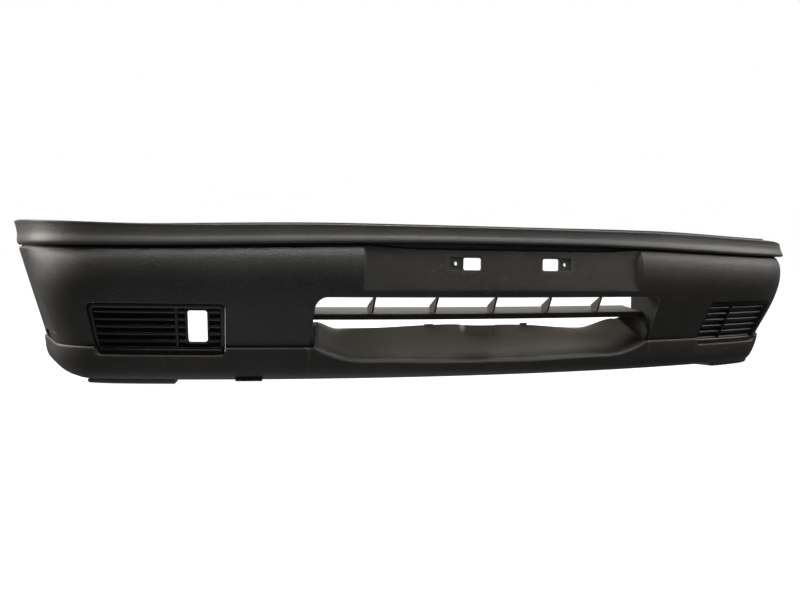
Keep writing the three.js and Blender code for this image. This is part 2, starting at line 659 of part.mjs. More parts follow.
for (const [side, word] of [[-1, 'left'], [1, 'right']]) {
  add(`plate_nut_${word}`, plateNut(side), NYLON);
  add(`side_bracket_${word}`, sideBracket(side), ZINC);
  add(`side_stud_${word}`, sideStud(side), ZINC);
  add(`edge_nut_${word}`, edgeNut(side), ZINC);
}

// push clips through the valance's upstand into the skin, and screws through the side brackets
[-1050, -850, -450, 450, 850, 1050].forEach((s, i) => {
  const axis = inward(s).multiplyScalar(Math.cos(TAB_LEAN)).addScaledVector(UP, Math.sin(TAB_LEAN));
  add(`valance_clip_${i + 1}`, pushClip(place(s, -51, 76), axis), NYLON);
});
[-1070, -950, 950, 1070].forEach((s, i) => {
  const depth = GROOVE_DEPTH - WALL - BRACKET.steel - 3 * GAP;
  add(`bracket_screw_${i + 1}`, panScrew(place(s, depth, 254), inward(s)), ZINC);
});

// screws down through the rail into the top flange
[-620, -370, -125, 125, 370, 620].forEach((s, i) => {
  const base = railSection(s)[2][1];
  add(`top_screw_${i + 1}`, panScrew(place(s, FLANGE_REAR + 14.7, base + 2 * GAP), UP), ZINC);
});

// the origin goes to the middle of the footprint
const bounds = new THREE.Box3().setFromObject(bumper);
const middle = bounds.getCenter(new THREE.Vector3());
bumper.children.forEach(mesh => mesh.geometry.translate(-middle.x, -middle.y, -bounds.min.z));

export default bumper;
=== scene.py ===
"""Front bumper cover: skin, rub moulding, valance with its scoop, grilles and fixings round the frame."""

import math

import bpy
import numpy as np
from mathutils import Matrix, Vector, geometry, kdtree


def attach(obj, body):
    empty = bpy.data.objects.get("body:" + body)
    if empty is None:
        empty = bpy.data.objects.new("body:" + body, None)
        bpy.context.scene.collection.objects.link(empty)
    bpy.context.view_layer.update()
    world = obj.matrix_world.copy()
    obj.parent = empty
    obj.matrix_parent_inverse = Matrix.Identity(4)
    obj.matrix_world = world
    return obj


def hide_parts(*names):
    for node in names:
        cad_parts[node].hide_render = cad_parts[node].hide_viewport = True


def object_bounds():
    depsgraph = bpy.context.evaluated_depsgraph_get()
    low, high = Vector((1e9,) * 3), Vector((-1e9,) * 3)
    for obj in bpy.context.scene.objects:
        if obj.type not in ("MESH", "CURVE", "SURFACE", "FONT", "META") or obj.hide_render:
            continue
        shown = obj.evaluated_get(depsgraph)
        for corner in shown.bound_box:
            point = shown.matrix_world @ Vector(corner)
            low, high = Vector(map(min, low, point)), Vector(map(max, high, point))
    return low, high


bl_info = {
    "name": "Bumper cover",
    "version": (1, 0, 0),
    "blender": (4, 5, 0),
    "location": "3D View > Sidebar > Bumper cover",
    "description": "Builds the fine pieces and finishes of a moulded front bumper cover",
    "category": "Object",
}

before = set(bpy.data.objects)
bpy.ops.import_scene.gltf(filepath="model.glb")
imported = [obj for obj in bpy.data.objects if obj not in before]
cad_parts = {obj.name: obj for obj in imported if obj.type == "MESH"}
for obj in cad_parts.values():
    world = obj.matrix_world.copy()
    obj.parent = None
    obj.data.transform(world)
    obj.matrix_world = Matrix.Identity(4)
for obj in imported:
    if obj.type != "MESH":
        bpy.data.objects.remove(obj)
CAD_LOW, CAD_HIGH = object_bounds()

# ---------------------------------------------------------------- driving dimensions, millimetres
# Shapes are worked out in plan axes: arc length s along the cover, distance d in front of the plan
# curve, height z above the floor. placed() turns them into the frame's metres.
MM = 0.001
GAP = 0.3
WALL = 3.0
FRONT_RADIUS = 2250.0
FRONT_ARC = 746.0
CORNER_RADIUS = 136.0
WING_HEADING = 1.525
CORNER_BLEND = 35.0
WING_END = 1131.0
SEAM_Z = 67.0
GROOVE_Z = 253.0
GROOVE_DROP = 13.0
GROOVE_DEPTH = -12.0
SHOULDER = 4.0
SHOULDER_LEAN = 2.3
STRIP_TOP_Z = 284.0
STRIP_DROP = 8.0
STRIP_BULGE = 6.0
STRIP_RISE = 12.5
WING_LEAN = 0.286
WING_TOP_DEPTH = -7.0
FLANGE_Z = 275.0
FLANGE_DROP = 6.0
FLANGE_REAR = -46.0
SKIN_PROFILE = [(67, -49), (110, -28), (150, -9.5), (185, 3), (212, 7.2), (232, 5.5), (244, 0)]
BAND_PROFILE = [
    (8, -67), (11, -63.4), (16, -59.2), (25, -54.6), (38, -50.2), (50, -46.9), (60, -45), (67, -44.5),
]
BAND_FOOT = [(-84.0, 8.0), (-78.0, 8.0), (-70.5, 8.0), (-67.4, 8.3), (-65.4, 9.1)]
BAND_END = 1127.0
OPENING_HALF = 360.0
OPENING_TOP_Z = 158.0
OPENING_CORNER = 20.0
INTAKE_REAR_Y = 140.0
LEDGE_REAR = -62.0
RECESS_HALF = 290.0
RECESS_TOP_Z = 243.0
RECESS_TOP_RISE = 5.0
RECESS_FLOOR = -4.0
RECESS_FACE = -2.6
RECESS_CENTRE = 8.0
HOLE_CENTRE = 4.0
RECESS_SLOPE = 1.36
PLATE_HOLE = {"x": 81.5, "z": 219.0, "half": 17.5, "tall": 11.0, "corner": 3.5}
PLATE_SCREW = {"x": 113.0, "z": 219.5, "radius": 4.6}
POCKET = {"x": 113.4, "z": 219.0, "half": 12.0, "tall": 12.0, "corner": 1.5, "depth": 1.6}
GRILLE = {"inner": 520.0, "outer": 760.0, "low": 53.0, "high": 145.0, "corner": 10.0, "divider": 604.0}
GRILLE_WINDOW = {"from": 551.0, "to": 585.0, "low": 77.0, "high": 133.0}
GRILLE_CENTRE = (GRILLE["inner"] + GRILLE["outer"]) / 2
GRILLE_HALF = (GRILLE["outer"] - GRILLE["inner"]) / 2
GRILLE_MIDDLE = (GRILLE["low"] + GRILLE["high"]) / 2
GRILLE_TALL = (GRILLE["high"] - GRILLE["low"]) / 2
COLLAR_DEPTH = 15.0
BLADE = {"front": -68.0, "rear": -140.0, "front_z": 125.5, "rear_z": 134.5, "nose": 11.0, "tail": 3.0}
STRUT_PITCH = 120.0
SCOOP_REAR_Y = 139.0
SCOOP_LEFT = 331.0
SCOOP_RIGHT = 313.0
SCOOP_ROWS = 44
BAND_ROWS = [10.5, 12.5, 15, 18, 22, 26, 31, 36, 42, 48, 54, 59, 62]
SLATS = 6
SLAT_LEAN = 0.35
STUD_TOP_Z = 291.0
RAIL_TOP_Z = 290.0
BRACKET_PLATE = 2.5
TAB_SPAN = (-502, -453)
END_LIP = 1.2

FACE_TOP = SKIN_PROFILE[-1][0]
LIP_TOP = FACE_TOP + SHOULDER + 1
FRONT_Y = CAD_LOW.y / MM + STRIP_BULGE


# ---------------------------------------------------------------- plan curve and heights
def smooth(start, end, value):
    """0 before start, 1 after end, with an even slope between."""
    t = np.clip((np.asarray(value, float) - start) / (end - start), 0, 1)
    return t * t * (3 - 2 * t)


def heading(s):
    """Direction of the plan curve at arc length s."""
    corner_end = FRONT_ARC + CORNER_RADIUS * (WING_HEADING - FRONT_ARC / FRONT_RADIUS)

    def ramp(at):
        return CORNER_BLEND * (np.logaddexp(0, (s - at) / CORNER_BLEND) - np.logaddexp(0, -at / CORNER_BLEND))

    front = (s - ramp(FRONT_ARC)) / FRONT_RADIUS
    return front + (ramp(FRONT_ARC) - ramp(corner_end)) / CORNER_RADIUS


PLAN_STEP = 2.0
PLAN_S = np.arange(0, WING_END + 60, PLAN_STEP)
_turn = heading(PLAN_S[:-1] + PLAN_STEP / 2)
PLAN_X = np.concatenate([[0], np.cumsum(PLAN_STEP * np.cos(_turn))])
PLAN_Y = np.concatenate([[0], np.cumsum(PLAN_STEP * np.sin(_turn))])


def placed(s, d, z):
    """Points at arc length s, distance d in front of the plan curve and height z, in millimetres."""
    s, d, z = np.broadcast_arrays(np.asarray(s, float), np.asarray(d, float), np.asarray(z, float))
    along = np.abs(s)
    turn = heading(along)
    x = np.interp(along, PLAN_S, PLAN_X) + d * np.sin(turn)
    y = np.interp(along, PLAN_S, PLAN_Y) - d * np.cos(turn)
    return np.stack([np.where(s < 0, -x, x), y, z], axis=-1)


def arc_at(x, d):
    """Arc length of the place whose X is x, at distance d."""
    target = np.abs(np.asarray(x, float))
    s = target.copy()
    for _ in range(4):
        turn = heading(s)
        s = s - (np.interp(s, PLAN_S, PLAN_X) + d * np.sin(turn) - target) / np.cos(turn)
    return np.where(np.asarray(x) < 0, -s, s)


def profile_curve(points):
    """A smooth function from height to distance through the given points."""
    heights = np.array([p[0] for p in points], float)
    depths = np.array([p[1] for p in points], float)
    last = len(points) - 1
    above = np.minimum(np.arange(last + 1) + 1, last)
    below = np.maximum(np.arange(last + 1) - 1, 0)
    slopes = (depths[above] - depths[below]) / (heights[above] - heights[below])

    def offset(z):
        h = np.clip(z, heights[0] - 20, heights[-1])
        i = np.clip(np.searchsorted(heights[1:-1], h, side="left"), 0, last - 1)
        width = heights[i + 1] - heights[i]
        rise = depths[i + 1] - depths[i]
        t = (h - heights[i]) / width
        bend = (slopes[i] * width - rise) * (1 - t) - (slopes[i + 1] * width - rise) * t
        return depths[i] + rise * t + t * (1 - t) * bend

    return offset


skin_offset = profile_curve(SKIN_PROFILE)
band_offset = profile_curve(BAND_PROFILE)


def groove_height(s):
    return GROOVE_Z - GROOVE_DROP * smooth(100, 780, np.abs(s))


def strip_top(s):
    """The moulding's top edge, which climbs towards one wing because the cover lies a little twisted."""
    rise = STRIP_RISE * smooth(480, 1130, -np.asarray(s, float)) - 7 * smooth(690, 850, s)
    return STRIP_TOP_Z + 1.5 - STRIP_DROP * smooth(300, 750, np.abs(s)) + rise


def flange_height(s):
    return FLANGE_Z - FLANGE_DROP * smooth(300, 750, np.abs(s))


def recess_top(s):
    return RECESS_TOP_Z + RECESS_TOP_RISE * smooth(180, RECESS_HALF, np.abs(s - RECESS_CENTRE))


def skin_lift(s, w):
    """The face's profile is stretched a little so that its top follows the groove."""
    return (groove_height(s) - SHOULDER - FACE_TOP) * smooth(SEAM_Z, FACE_TOP + SHOULDER, w)


def nominal(s, z):
    """Height on the unstretched profile that ends up at height z."""
    w = np.asarray(z, float).copy()
    for _ in range(6):
        w = z - skin_lift(s, w)
    return w


def soft_max(a, b, radius):
    h = np.clip(0.5 + 0.5 * (a - b) / radius, 0, 1)
    return b + (a - b) * h + radius * h * (1 - h)


def soft_min(a, b, radius):
    return -soft_max(-a, -b, radius)


def rounded_distance(x, z, centre_x, centre_z, half, tall, corner):
    """Signed distance to a rectangle with round corners, negative inside."""
    qx = np.abs(x - centre_x) - half + corner
    qz = np.abs(z - centre_z) - tall + corner
    outside = np.hypot(np.maximum(qx, 0), np.maximum(qz, 0))
    return outside + np.minimum(np.maximum(qx, qz), 0) - corner


def roundover(distance, radius):
    """How far an edge has turned away, at a distance from it."""
    t = np.clip(distance, 0, radius)
    return radius - np.sqrt(radius ** 2 - (radius - t) ** 2)


# ---------------------------------------------------------------- outlines
def corner_arc(cx, cz, radius, start, end, count=7):
    angles = np.radians(np.linspace(start, end, count))
    return [(cx + radius * math.cos(a), cz + radius * math.sin(a)) for a in angles]


def spaced(points, step, closed=False):
    """The same outline with no side longer than step."""
    result = []
    ends = points[1:] + (points[:1] if closed else [])
    for (x0, z0), (x1, z1) in zip(points, ends):
        count = max(1, round(math.hypot(x1 - x0, z1 - z0) / step))
        result += [(x0 + (x1 - x0) * k / count, z0 + (z1 - z0) * k / count) for k in range(count)]
    return result if closed else result + [points[-1]]


def doorway(centre, half, foot, top, corner, grow, step=6.0):
    """An outline open at its foot: up, over the top with two round corners, and down."""
    left, right, high, r = centre - half - grow, centre + half + grow, top + grow, corner + grow
    points = [(left, foot)]
    points += corner_arc(left + r, high - r, r, 180, 90)
    points += corner_arc(right - r, high - r, r, 90, 0)
    points.append((right, foot))
    return spaced(points, step)


def trough(centre, half, rim, bottom, corner, grow, step=6.0):
    """An outline open at its rim: down, along the bottom with two round corners, and up."""
    left, right, low, r = centre - half - grow, centre + half + grow, bottom - grow, corner + grow
    points = [(left, rim)]
    points += corner_arc(left + r, low + r, r, 180, 270)
    points += corner_arc(right - r, low + r, r, 270, 360)
    points.append((right, rim))
    return spaced(points, step)


def pane(centre_x, centre_z, half, tall, corner, grow, step=4.0):
    """A closed outline: a rectangle with round corners."""
    w, h, r = half + grow, tall + grow, corner + grow
    points = []
    for sx, sz, start in ((1, 1, 0), (-1, 1, 90), (-1, -1, 180), (1, -1, 270)):
        points += corner_arc(centre_x + sx * (w - r), centre_z + sz * (h - r), r, start, start + 90, 5)
    return spaced(points, step, closed=True)


# ---------------------------------------------------------------- meshes
def to_metres(points):
    """Points beside the plan curve, in millimetres, as points in the frame."""
    points = np.asarray(points, float).reshape(-1, 3)
    return np.stack([points[:, 0], points[:, 1] + FRONT_Y, points[:, 2]], axis=-1) * MM


def linked(name, data):
    """A new object in the scene."""
    made = bpy.data.objects.new(name, data)
    bpy.context.scene.collection.objects.link(made)
    return made


def mesh_object(name, points, edges, faces):
    """An object whose mesh has the given points, in metres."""
    mesh = bpy.data.meshes.new(name)
    mesh.from_pydata(np.asarray(points).tolist(), edges, faces)
    return linked(name, mesh)


def shaded(mesh, sharp_angle):
    """Smooth shading that breaks where faces meet at more than an angle in degrees."""
    mesh.polygons.foreach_set("use_smooth", [True] * len(mesh.polygons))
    mesh.set_sharp_from_angle(angle=math.radians(sharp_angle))


class Body:
    """Gathers closed parts, in plan axes and millimetres, into one mesh."""

    def __init__(self):
        self.points = []
        self.faces = []
        self.count = 0

    def add(self, points, faces):
        """A closed part. Its faces are turned outward."""
        points = np.asarray(points, float).reshape(-1, 3)
        fans = np.array([(face[0], face[k], face[k + 1]) for face in faces for k in range(1, len(face) - 1)])
        a, b, c = points[fans[:, 0]], points[fans[:, 1]], points[fans[:, 2]]
        volume = np.einsum("ij,ij->", a, np.cross(b, c))
        turned = [tuple(face[::-1]) for face in faces] if volume < 0 else faces
        self.faces += [tuple(i + self.count for i in face) for face in turned]
        self.points.append(points)
        self.count += len(points)
        return self

    def loft(self, rings, loop=False):
        """Rings of equal length joined into a closed tube, or into a frame if loop is set."""
        rings = np.asarray(rings, float)
        rows, size = rings.shape[:2]
        faces = []
        for r in range(rows if loop else rows - 1):
            near, far = r * size, (r + 1) % rows * size
            for i in range(size):
                j = (i + 1) % size
                faces.append((near + i, near + j, far + j, far + i))
        if not loop:
            faces.append(tuple(range(size))[::-1])
            faces.append(tuple((rows - 1) * size + i for i in range(size)))
        return self.add(rings, faces)

    def plate(self, outer, inner):
        """Two grids of points, one wall thickness apart, joined round their edges."""
        rows, columns = outer.shape[:2]
        total = rows * columns
        faces = []
        for r in range(rows - 1):
            for c in range(columns - 1):
                a, b = r * columns + c, (r + 1) * columns + c
                faces.append((a, a + 1, b + 1, b))
                faces.append((total + a, total + b, total + b + 1, total + a + 1))
        edge = [(0, c) for c in range(columns)] + [(r, columns - 1) for r in range(1, rows)]
        edge += [(rows - 1, c) for c in range(columns - 2, -1, -1)] + [(r, 0) for r in range(rows - 2, 0, -1)]
        ids = [r * columns + c for r, c in edge]
        for a, b in zip(ids, ids[1:] + ids[:1]):
            faces.append((b, a, total + a, total + b))
        return self.add(np.concatenate([outer.reshape(-1, 3), inner.reshape(-1, 3)]), faces)

    def object(self, name, sharp_angle=38.0):
        """The finished object, at the origin with its place in its mesh."""
        made = mesh_object(name, to_metres(np.concatenate(self.points)), [], self.faces)
        made.data.validate()
        shaded(made.data, sharp_angle)
        return made


def trimmed_sheet(body, columns, rows, creases, keep, clearance, outer, inner):
    """A wall on the (s, row) plane, with a triangle net that follows creases and stops at its outlines.

    creases is a list of (points, closed), keep says which places are solid, clearance how near a plain
    grid point may come to a crease, and outer and inner place both faces of the wall.
    """
    points, edges = [], []
    for outline, closed in creases:
        first = len(points)
        points += [tuple(map(float, p)) for p in outline]
        edges += [(first + k, first + k + 1) for k in range(len(outline) - 1)]
        if closed:
            edges.append((first + len(outline) - 1, first))
    tree = kdtree.KDTree(len(points))
    for index, (s, w) in enumerate(points):
        tree.insert((s, w, 0), index)
    tree.balance()
    grid = [(s, w) for w in rows for s in columns]
    points += [p for p in grid if tree.find((p[0], p[1], 0))[2] > clearance]
    net = geometry.delaunay_2d_cdt([Vector(p) for p in points], edges, [], 0, 1e-3, False)
    flat = np.array([tuple(v) for v in net[0]])
    triangles = np.array([f for f in net[2] if len(f) == 3])
    middle = flat[triangles].mean(axis=1)
    corner = flat[triangles]
    one, two = corner[:, 1] - corner[:, 0], corner[:, 2] - corner[:, 0]
    area = one[:, 0] * two[:, 1] - one[:, 1] * two[:, 0]
    triangles = triangles[keep(middle[:, 0], middle[:, 1]) & (np.abs(area) > 1e-4)]
    used, flat_index = np.unique(triangles, return_inverse=True)
    triangles = flat_index.reshape(-1, 3)
    s, w = flat[used, 0], flat[used, 1]
    total = len(used)
    directed = np.concatenate([triangles[:, [0, 1]], triangles[:, [1, 2]], triangles[:, [2, 0]]])
    seen = set(map(tuple, directed.tolist()))
    faces = [tuple(t) for t in triangles.tolist()]
    faces += [(a + total, c + total, b + total) for a, b, c in triangles.tolist()]
    faces += [(b, a, a + total, b + total) for a, b in seen if (b, a) not in seen]
    body.add(np.concatenate([outer(s, w), inner(s, w)]), faces)


def swept(body, stations, section):
    """A section, (d, z) pairs for each arc length, swept along the cover."""
    rings = [placed(s, *np.array(section(s)).T) for s in stations]
    return body.loft(np.array(rings))


def filleted(points, radii, count=5):
    """A closed outline whose corners are rounded."""
    result = []
    size = len(points)
    for k in range(size):
        here = np.array(points[k], float)
        back = np.array(points[k - 1], float) - here
        ahead = np.array(points[(k + 1) % size], float) - here
        reach = min(radii[k], np.linalg.norm(back) * 0.48, np.linalg.norm(ahead) * 0.48)
        if reach < 0.05:
            result.append(tuple(here))
            continue
        start = here + back / np.linalg.norm(back) * reach
        end = here + ahead / np.linalg.norm(ahead) * reach
        for t in np.linspace(0, 1, count):
            result.append(tuple((1 - t) ** 2 * start + 2 * t * (1 - t) * here + t * t * end))
    return result


def across(outline, x, thickness, bevel=0.6):
    """Rings of a plate with a (y, z) outline, a thickness along X and slightly rounded edges."""
    flat = np.array(outline, float)
    middle = flat.mean(axis=0)
    rings = []
    for side, shrink in ((-1, bevel), (-1, 0), (1, 0), (1, bevel)):
        away = flat - middle
        scale = 1 - shrink / np.maximum(np.linalg.norm(away, axis=1, keepdims=True), 1)
        ring = middle + away * scale
        offset = side * (thickness / 2 - (0 if shrink else bevel))
        rings.append(np.column_stack([np.full(len(flat), x + offset), ring]))
    return rings


def lathe_rings(profile, segments):
    """Rings of a turned piece about +Z, from (radius, height) pairs."""
    angles = np.linspace(0, 2 * math.pi, segments, endpoint=False)
    return [
        np.column_stack([r * np.cos(angles), r * np.sin(angles), np.full(segments, h)])
        for r, h in profile
    ]


def column_stations():
    """Arc lengths of the nets' columns: closer together round the corners."""
    half = np.concatenate([np.arange(0, 640, 8.0), np.arange(640, 960, 5.0), np.arange(960, WING_END, 9.0)])
    half = np.concatenate([half, [WING_END - 2, WING_END - 1, WING_END - 0.4, WING_END]])
    return np.concatenate([-half[:0:-1], half])


# ---------------------------------------------------------------- shader maths
class Wire:
    """One socket of a material. Arithmetic on wires adds Math nodes."""

    def __init__(self, recipe, socket):
        self.recipe = recipe
        self.socket = socket

    def _math(self, operation, *values):
        return self.recipe.node("ShaderNodeMath", {"operation": operation}, dict(enumerate(values)))

    def __add__(self, other):
        return self._math("ADD", self, other)

    def __sub__(self, other):
        return self._math("SUBTRACT", self, other)

    def __rsub__(self, other):
        return self._math("SUBTRACT", other, self)

    def __mul__(self, other):
        return self._math("MULTIPLY", self, other)

    def __abs__(self):
        return self._math("ABSOLUTE", self)

    __radd__ = __add__
    __rmul__ = __mul__

    def held(self):
        """The value kept between 0 and 1."""
        return self.recipe.node("ShaderNodeClamp", {}, {"Value": self})

    def over(self, start, end):
        """0 where the value is start, 1 where it is end, with an even slope between."""
        settings = {"interpolation_type": "SMOOTHSTEP"}
        return self.recipe.node(
            "ShaderNodeMapRange", settings, {"Value": self, "From Min": start, "From Max": end}
        )

    def spread(self, start, end, low, high):
        """low where the value is start, high where it is end, and a straight line between."""
        inputs = {"Value": self, "From Min": start, "From Max": end, "To Min": low, "To Max": high}
        return self.recipe.node("ShaderNodeMapRange", {}, inputs)


class Recipe:
    """The nodes of a material or a world under construction."""

    def __init__(self, owner):
        self.owner = owner
        owner.use_nodes = True
        self.tree = owner.node_tree
        self.tree.nodes.clear()

    def node(self, kind, settings, inputs, output=0):
        """A node of any type: its settings, then the values or links of its sockets."""
        made = self.tree.nodes.new(kind)
        for key, value in settings.items():
            setattr(made, key, value)
        for key, value in inputs.items():
            if isinstance(value, Wire):
                self.tree.links.new(value.socket, made.inputs[key])
            else:
                made.inputs[key].default_value = value
        return Wire(self, made.outputs[output]) if made.outputs else None

    def axes(self, spot, letters):
        """The parts of a vector that the letters name."""
        return [self.node("ShaderNodeSeparateXYZ", {}, {0: spot}, letter) for letter in letters]

    def place(self, stretch=(1.0, 1.0, 1.0)):
        spot = self.node("ShaderNodeTexCoord", {}, {}, "Object")
        return self.node("ShaderNodeMapping", {}, {"Vector": spot, "Scale": stretch})

    def noise(self, size, detail=2.0, stretch=(1.0, 1.0, 1.0), roughness=0.5):
        """Soft noise whose blotches are about size metres across."""
        inputs = {"Vector": self.place(stretch), "Scale": 1 / size, "Detail": detail, "Roughness": roughness}
        return self.node("ShaderNodeTexNoise", {}, inputs)

    def cells(self, size, stretch=(1.0, 1.0, 1.0)):
        """Distance to the nearest edge of irregular cells, as in pressed leather grain."""
        inputs = {"Vector": self.place(stretch), "Scale": 1 / size}
        return self.node("ShaderNodeTexVoronoi", {"feature": "DISTANCE_TO_EDGE"}, inputs)

    def blend(self, factor, first, second):
        """A colour between two, by a factor."""
        settings = {"data_type": "RGBA", "clamp_factor": True}
        return self.node("ShaderNodeMix", settings, {0: factor, 6: first, 7: second}, 2)

    def edges(self, start, end):
        """1 on outward edges, 0 on flat ground, from the mesh's own shape."""
        return self.node("ShaderNodeNewGeometry", {}, {}, "Pointiness").over(start, end)

    def bump(self, height, distance, strength):
        return self.node(
            "ShaderNodeBump", {}, {"Height": height, "Distance": distance, "Strength": strength}
        )

    def finish(self, **sockets):
        """The surface and its output. Underscores in a socket's name stand for spaces."""
        inputs = {key.replace("_", " "): value for key, value in sockets.items()}
        surface = self.node("ShaderNodeBsdfPrincipled", {}, inputs)
        self.node("ShaderNodeOutputMaterial", {}, {"Surface": surface})
        return self.owner


def new_finish(name):
    return Recipe(bpy.data.materials.new(name))


def tone(colour, factor=1.0):
    """A colour made brighter or darker, with a full alpha."""
    return (*[channel * factor for channel in colour[:3]], 1.0)


def scoop_zones(r):
    """Dust and painted light on the scoop's floor, painted shade on the intake's side walls, and a mask that
    is 0 on the joint beside them, where no edge highlight is painted.
    """
    sideways, back, up = r.axes(r.node("ShaderNodeTexCoord", {}, {}, "Object"), "XYZ")
    half, seam, top = OPENING_HALF * MM, SEAM_Z * MM, OPENING_TOP_Z * MM
    aside = abs(sideways)
    behind = back - sideways * sideways * (0.5 / (FRONT_RADIUS * MM)) - FRONT_Y * MM
    floor_half = half - 0.010 - (behind - 0.05) * 0.4
    # Where the scoop's floor is painted: dust, and painted light where the blade shades the floor.
    dust = behind.over(0.06, 0.088) * up.over(0.036, 0.046) * (floor_half - aside).over(-0.002, 0.004)
    face = 0.049 - (up - seam) * 0.49
    wall = aside.over(half - 0.0055, half - 0.0015) * (half + 0.010 - aside).over(0.0, 0.003)
    # Painted shade: the intake's side walls, and what lies against them, are darkened as if no light reached
    # them.
    painted_shade = wall * (behind - face).over(0.003, 0.008) * (top + 0.005 - up).over(0.0, 0.004)
    # Along the joint between the scoop and the bands no painted edge highlight is laid.
    joint = abs(aside - (half - 0.008)).over(0.006, 0.012)
    return dust, painted_shade, joint


def moulded_plastic(name, colour, roughness, grain, grain_depth, dust, dust_and_light_colour=None):
    """Matt moulded plastic: pressed grain, cloudy roughness, faint scuffs, dust and painted highlights on its
    edges, dust and painted light on the scoop's floor where a colour is given for it, and painted shade on
    the intake's side walls.
    """
    r = new_finish(name)
    clouds = r.noise(0.11, 3.0, (1, 1, 1.6))
    speckle = r.noise(0.0035, 2.0)
    scuffs = r.noise(0.028, 4.0, (1, 1, 5), 0.7).over(0.6, 0.74)
    pressed = r.cells(grain).over(0.0, 0.4)
    dust_and_light_zone, painted_shade_zone, joint = scoop_zones(r)
    # Outward edges lightened: wear, and painted highlights where light would catch them.
    worn_and_highlit = r.edges(0.51, 0.56) * joint
    shade = r.blend(clouds.over(0.3, 0.7), tone(colour, 0.86), tone(colour, 1.14))
    shade = r.blend(speckle.over(0.35, 0.65) * 0.35, shade, tone(colour, 1.35))
    # Scuffs, and edge wear with painted highlights, in a pale tan.
    shade = r.blend((scuffs * 0.2 + worn_and_highlit * dust).held(), shade, tone((0.21, 0.185, 0.155)))
    # The scoop's floor lightened: dust, and painted light where the blade shades it.
    if dust_and_light_colour:
        shade = r.blend(dust_and_light_zone * (clouds * 0.25 + 0.75), shade, tone(dust_and_light_colour))
    # Painted shade: the colour goes nearly black on the intake's side walls.
    shade = r.blend(painted_shade_zone, shade, tone(colour, 0.12))
    gloss = clouds * 0.08 + speckle * 0.05 + scuffs * 0.06 + painted_shade_zone * 0.3 + (roughness - 0.05)
    relief = pressed + r.noise(grain * 0.45, 2.0) * 0.5
    return r.finish(
        Base_Color=shade, Roughness=gloss.held(), Normal=r.bump(relief, grain_depth, 0.9),
        Specular_IOR_Level=0.5,
    )


def gloss_moulding(name, colour, roughness):
    """Smooth black moulding with a soft gloss, dust in it, and edges lightened as wear and as painted
    highlights.
    """
    r = new_finish(name)
    clouds = r.noise(0.03, 3.0)
    dust = r.noise(0.002, 2.0).over(0.62, 0.8)
    # Outward edges lightened: wear, and painted highlights.
    worn_and_highlit = r.edges(0.52, 0.6)
    shade = r.blend((dust * 0.25 + worn_and_highlit * 0.18).held(), tone(colour), tone((0.16, 0.15, 0.14)))
    gloss = roughness + clouds * 0.12 + dust * 0.15
    ripple = r.noise(0.006, 2.0)
    return r.finish(Base_Color=shade, Roughness=gloss.held(), Normal=r.bump(ripple, 0.00008, 0.5))


def plated_steel(name, colour, roughness):
    """Zinc plate: spangled, lightly scratched, duller where it is handled."""
    r = new_finish(name)
    spangle = r.noise(0.004, 3.0)
    scratches = r.noise(0.0016, 3.0, (9, 1, 1)).over(0.6, 0.75)
    tarnish = r.noise(0.02, 4.0).over(0.5, 0.72)
    shade = r.blend(spangle.over(0.3, 0.7), tone(colour, 0.82), tone(colour, 1.1))
    shade = r.blend(tarnish * 0.55, shade, tone((0.3, 0.27, 0.2)))
    gloss = roughness + spangle * 0.12 + tarnish * 0.2
    return r.finish(
        Base_Color=shade, Roughness=gloss.held(), Metallic=(1 - tarnish * 0.35).held(),
        Normal=r.bump(scratches, 0.00004, 0.5),
    )


# ---------------------------------------------------------------- geometry nodes
def node_tree(name, inputs):
    """An empty geometry tree with named inputs, and the node that gives them."""
    tree = bpy.data.node_groups.new(name, "GeometryNodeTree")
    tree.interface.new_socket("Geometry", in_out="INPUT", socket_type="NodeSocketGeometry")
    for label, kind, default in inputs:
        socket = tree.interface.new_socket(label, in_out="INPUT", socket_type=kind)
        if default is not None:
            socket.default_value = default
    tree.interface.new_socket("Geometry", in_out="OUTPUT", socket_type="NodeSocketGeometry")
    return tree, tree.nodes.new("NodeGroupInput"), tree.nodes.new("NodeGroupOutput")


def chained(tree, start, kinds, end):
    """Nodes joined in a row by their first geometry sockets."""
    made, last = [], start
    for kind in kinds:
        step = tree.nodes.new(kind)
        target = next(s for s in step.inputs if s.type == "GEOMETRY")
        tree.links.new(last.outputs[0], target)
        made.append(step)
        last = step
    tree.links.new(last.outputs[0], end.inputs[0])
    return made


def repeat_tree():
    """Sets a copy of one shape on every point, turned to the point's own axis."""
    tree, given, result = node_tree("repeat_on_points", [
        ("Shape", "NodeSocketObject", None), ("Size", "NodeSocketFloat", 1.0),
        ("Finish", "NodeSocketMaterial", None),
    ])
    _, stand, _, paint = chained(tree, given, [
        "GeometryNodeMeshToPoints", "GeometryNodeInstanceOnPoints",
        "GeometryNodeRealizeInstances", "GeometryNodeSetMaterial",
    ], result)
    shape = tree.nodes.new("GeometryNodeObjectInfo")
    tree.links.new(given.outputs["Shape"], shape.inputs["Object"])
    tree.links.new(shape.outputs["Geometry"], stand.inputs["Instance"])
    axis = tree.nodes.new("GeometryNodeInputNamedAttribute")
    axis.data_type = "FLOAT_VECTOR"
    axis.inputs["Name"].default_value = "axis"
    turn = tree.nodes.new("FunctionNodeAlignRotationToVector")
    turn.axis = "Z"
    tree.links.new(axis.outputs["Attribute"], turn.inputs["Vector"])
    tree.links.new(turn.outputs["Rotation"], stand.inputs["Rotation"])
    tree.links.new(given.outputs["Size"], stand.inputs["Scale"])
    tree.links.new(given.outputs["Finish"], paint.inputs["Material"])
    return tree


